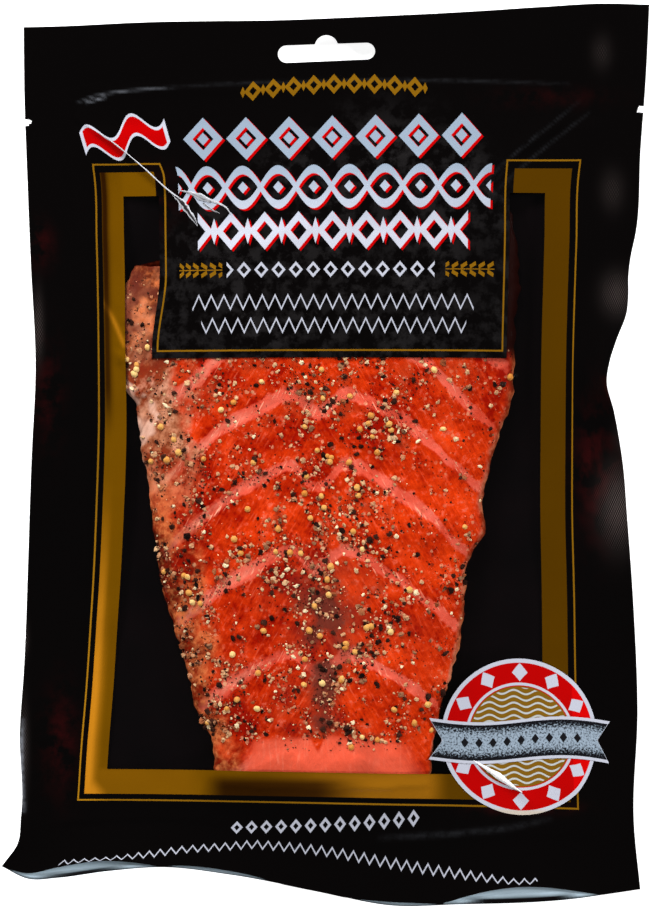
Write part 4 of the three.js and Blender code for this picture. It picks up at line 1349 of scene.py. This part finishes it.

# Painted highlights along the film's sharp folds, with painted shade in their middles: the line's run, half
# widths along it, how dark its middle is (pale below zero), and how far it lies above the film if that isn't
# the usual.
foldHighlights = [
    {"run": [(-80.1, 110), (-73.5, 106), (-67.8, 101.8), (-60, 95.2), (-54.1, 89.7), (-49.8, 86.2)],
     "half": [0.04, 0.13, 0.2, 0.17, 0.26, 0.34], "core": 0.0},
    {"run": [(-50.8, 86.6), (-48.0, 84.3), (-45.6, 81), (-43.6, 78.2), (-42.4, 76)],
     "half": [0.25, 0.9, 1.0, 0.7, 0.12], "core": 1.0},
    {"run": [(-49, 88), (-45, 87.2), (-41, 85.6), (-38.2, 84.4)], "half": [0.1, 0.35, 0.9, 0.7], "core": 0.5},
    {"run": [(-39.8, 85.2), (-36, 83.8), (-33, 82.2), (-31.4, 79.9)], "half": [0.6, 0.4, 0.25, 0.12],
     "core": 0.2},
    {"run": [(49.3, -101.6), (53.2, -104), (57.6, -106.8), (62, -110), (65.6, -112.4)],
     "half": [0.1, 0.55, 1.1, 0.65, 0.1], "core": -1.0, "lift": 0.34},
    {"run": [(-40.5, 83.6), (-37.6, 81.4), (-35.0, 80.2)], "half": [0.35, 0.25, 0.08], "core": 0.9},
]


def makeFoldHighlightLook():
    # Painted highlight in silver, with painted shade along the middle of the wide folds, streaked along its
    # run
    material, tree, shader = startMaterial("painted fold highlight")
    place = readField(tree, "foldPlace")
    _, aside, core = splitField(tree, place)
    streaks = noiseWire(tree, place, 1.1, 2, 0.5, (0.35, 1.6, 1.0))
    # painted shade along the middle of the wide folds and in streaks
    middle = (0.75 - abs(aside) + (streaks - 0.5) * 1.2).do("MULTIPLY", 2.5, clamp=True)
    dark = (middle * core + streaks.above(0.6, 4.0) * 0.5).clamped()
    colour = layered(tree, (0.56, 0.57, 0.61), ((-core).clamped(), (0.95, 0.95, 0.97)),
                     (dark, (0.02, 0.018, 0.02)))
    feed(shader, {"Base Color": colour, "Roughness": 0.22})
    return material


def readFront(x, y):
    # Height of the front film at plan places: that of the highest of its points within 0.9 mm.
    grid = front["points"].reshape(-1, 3)
    near = np.abs(grid[:, :2] - [(x.min() + x.max()) / 2, (y.min() + y.max()) / 2])
    grid = grid[(near < [np.ptp(x) / 2 + 2, np.ptp(y) / 2 + 2]).all(axis=1)]
    away = (x.reshape(-1, 1) - grid[None, :, 0]) ** 2 + (y.reshape(-1, 1) - grid[None, :, 1]) ** 2
    return np.where(away < 0.8, grid[None, :, 2], -1).max(axis=1).reshape(x.shape)


def makeFoldHighlights():
    # One strip of painted highlight along each line, raised in the middle like a roof
    long, wide = 50, 9
    share, aside = np.linspace(0, 1, long), np.linspace(-1, 1, wide)
    points, faces, places = [], [], []
    for number, edge in enumerate(foldHighlights):
        line = curveAt(edge["run"], share)
        along = np.gradient(line, axis=0)
        normal = np.stack([-along[:, 1], along[:, 0]], -1) / np.linalg.norm(along, axis=1, keepdims=True)
        half = np.interp(share, np.linspace(0, 1, len(edge["half"])), edge["half"])
        half = half * (1 + 0.3 * softNoise(share * 30, share * 0 + number * 7, 1.7, 61))
        plan = line[:, None] + normal[:, None] * (half[:, None] * -aside)[..., None]
        roof = edge.get("lift", 0.06) + 0.5 * half[:, None] * (1 - np.abs(aside) ** 1.5)
        height = readFront(plan[..., 0], plan[..., 1]) + roof
        points.append(np.concatenate([plan, height[..., None]], -1).reshape(-1, 3))
        faces.append(gridFaces(long, wide) + number * long * wide)
        run = np.repeat(share[:, None] * 20 + number * 40, wide, 1)
        places.append(np.stack([run, run * 0 + aside, run * 0 + edge["core"]], -1).reshape(-1, 3))
    buildPiece("fold_highlights", np.concatenate(points), np.concatenate(faces), makeFoldHighlightLook(),
               {"foldPlace": np.concatenate(places)})


makeFoldHighlights()

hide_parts("pouch")
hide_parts("fillet")


# Floor, light and camera

studio = {
    "floorSize": 3.0, "floorDrop": 0.02, "floorTone": 0.93, "floorGlow": 0.9, "worldTone": 0.03,
    "cameraHeight": 1.5, "pixel": 1 / 3, "pixelsDown": 918, "sensor": 36, "photoMiddle": (1.73, -1.33),
}

# Place and size in metres, power in watts, and whether the lamp shows in mirroring surfaces
lamps = {
    "left box": ((-1.07, 0.94, 0.82), (0.5, 0.42), 26, False),
    "right box": ((1.35, 0.35, 0.8), (0.5, 0.42), 14.5, False),
    "right gleam": ((1.35, 0.35, 0.8), (0.5, 0.42), 2.5, True),
    "front box": ((0.15, -1.42, 0.8), (0.6, 0.36), 11, False),
    "back box": ((-0.2, 1.45, 0.82), (0.6, 0.36), 21, False),
}


def addToScene(name, data):
    added = bpy.data.objects.new(name, data)
    bpy.context.scene.collection.objects.link(added)
    return added


def makeFloor():
    side, level = studio["floorSize"] / 2, -studio["floorDrop"] * mm
    corners = [(-side, -side, level), (side, -side, level), (side, side, level), (-side, side, level)]
    material, _, shader = startMaterial("pale floor")
    feed(shader, {"Base Color": [studio["floorTone"]] * 3, "Roughness": 0.9, "Specular IOR Level": 0.1,
                  "Emission Color": (1, 1, 1), "Emission Strength": studio["floorGlow"]})
    mesh = bpy.data.meshes.new("floor")
    mesh.from_pydata(corners, [], [[0, 1, 2, 3]])
    mesh.materials.append(material)
    addToScene("floor", mesh)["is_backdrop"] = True


def addLamp(name, place, size, power, mirrored):
    # A lit rectangle that faces the middle of the pack.
    lamp = bpy.data.lights.new(name, "AREA")
    lamp.shape, lamp.size, lamp.size_y = "RECTANGLE", *size
    lamp.energy = power
    holder = addToScene(name, lamp)
    holder.location = place
    holder.visible_glossy = mirrored
    holder.rotation_mode = "QUATERNION"
    holder.rotation_quaternion = (-Vector(place)).to_track_quat("-Z", "Y")


def addCamera():
    # Straight above; a pixel of the picture is as large on the table as studio says.
    lens = bpy.data.cameras.new("camera")
    camera = addToScene("camera", lens)
    camera.location = (*[place * mm for place in studio["photoMiddle"]], studio["cameraHeight"])
    lens.sensor_fit, lens.sensor_height, lens.sensor_width = "VERTICAL", studio["sensor"], studio["sensor"]
    lens.lens = studio["sensor"] * studio["cameraHeight"] / (studio["pixelsDown"] * studio["pixel"] * mm)
    lens.clip_start, lens.clip_end = 0.05, 20
    bpy.context.scene.camera = camera


makeFloor()
for name, values in lamps.items():
    addLamp(name, *values)
addCamera()

world = bpy.data.worlds.new("studio")
bpy.context.scene.world = world
world.use_nodes = True
feed(world.node_tree.nodes["Background"], {"Color": [studio["worldTone"]] * 3})
bpy.context.scene.view_settings.view_transform = "Standard"
print("studio ready")

({"cad": [list(map(float, corner)) for corner in cadBox],
           "visual": [list(map(float, corner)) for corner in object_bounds()]})
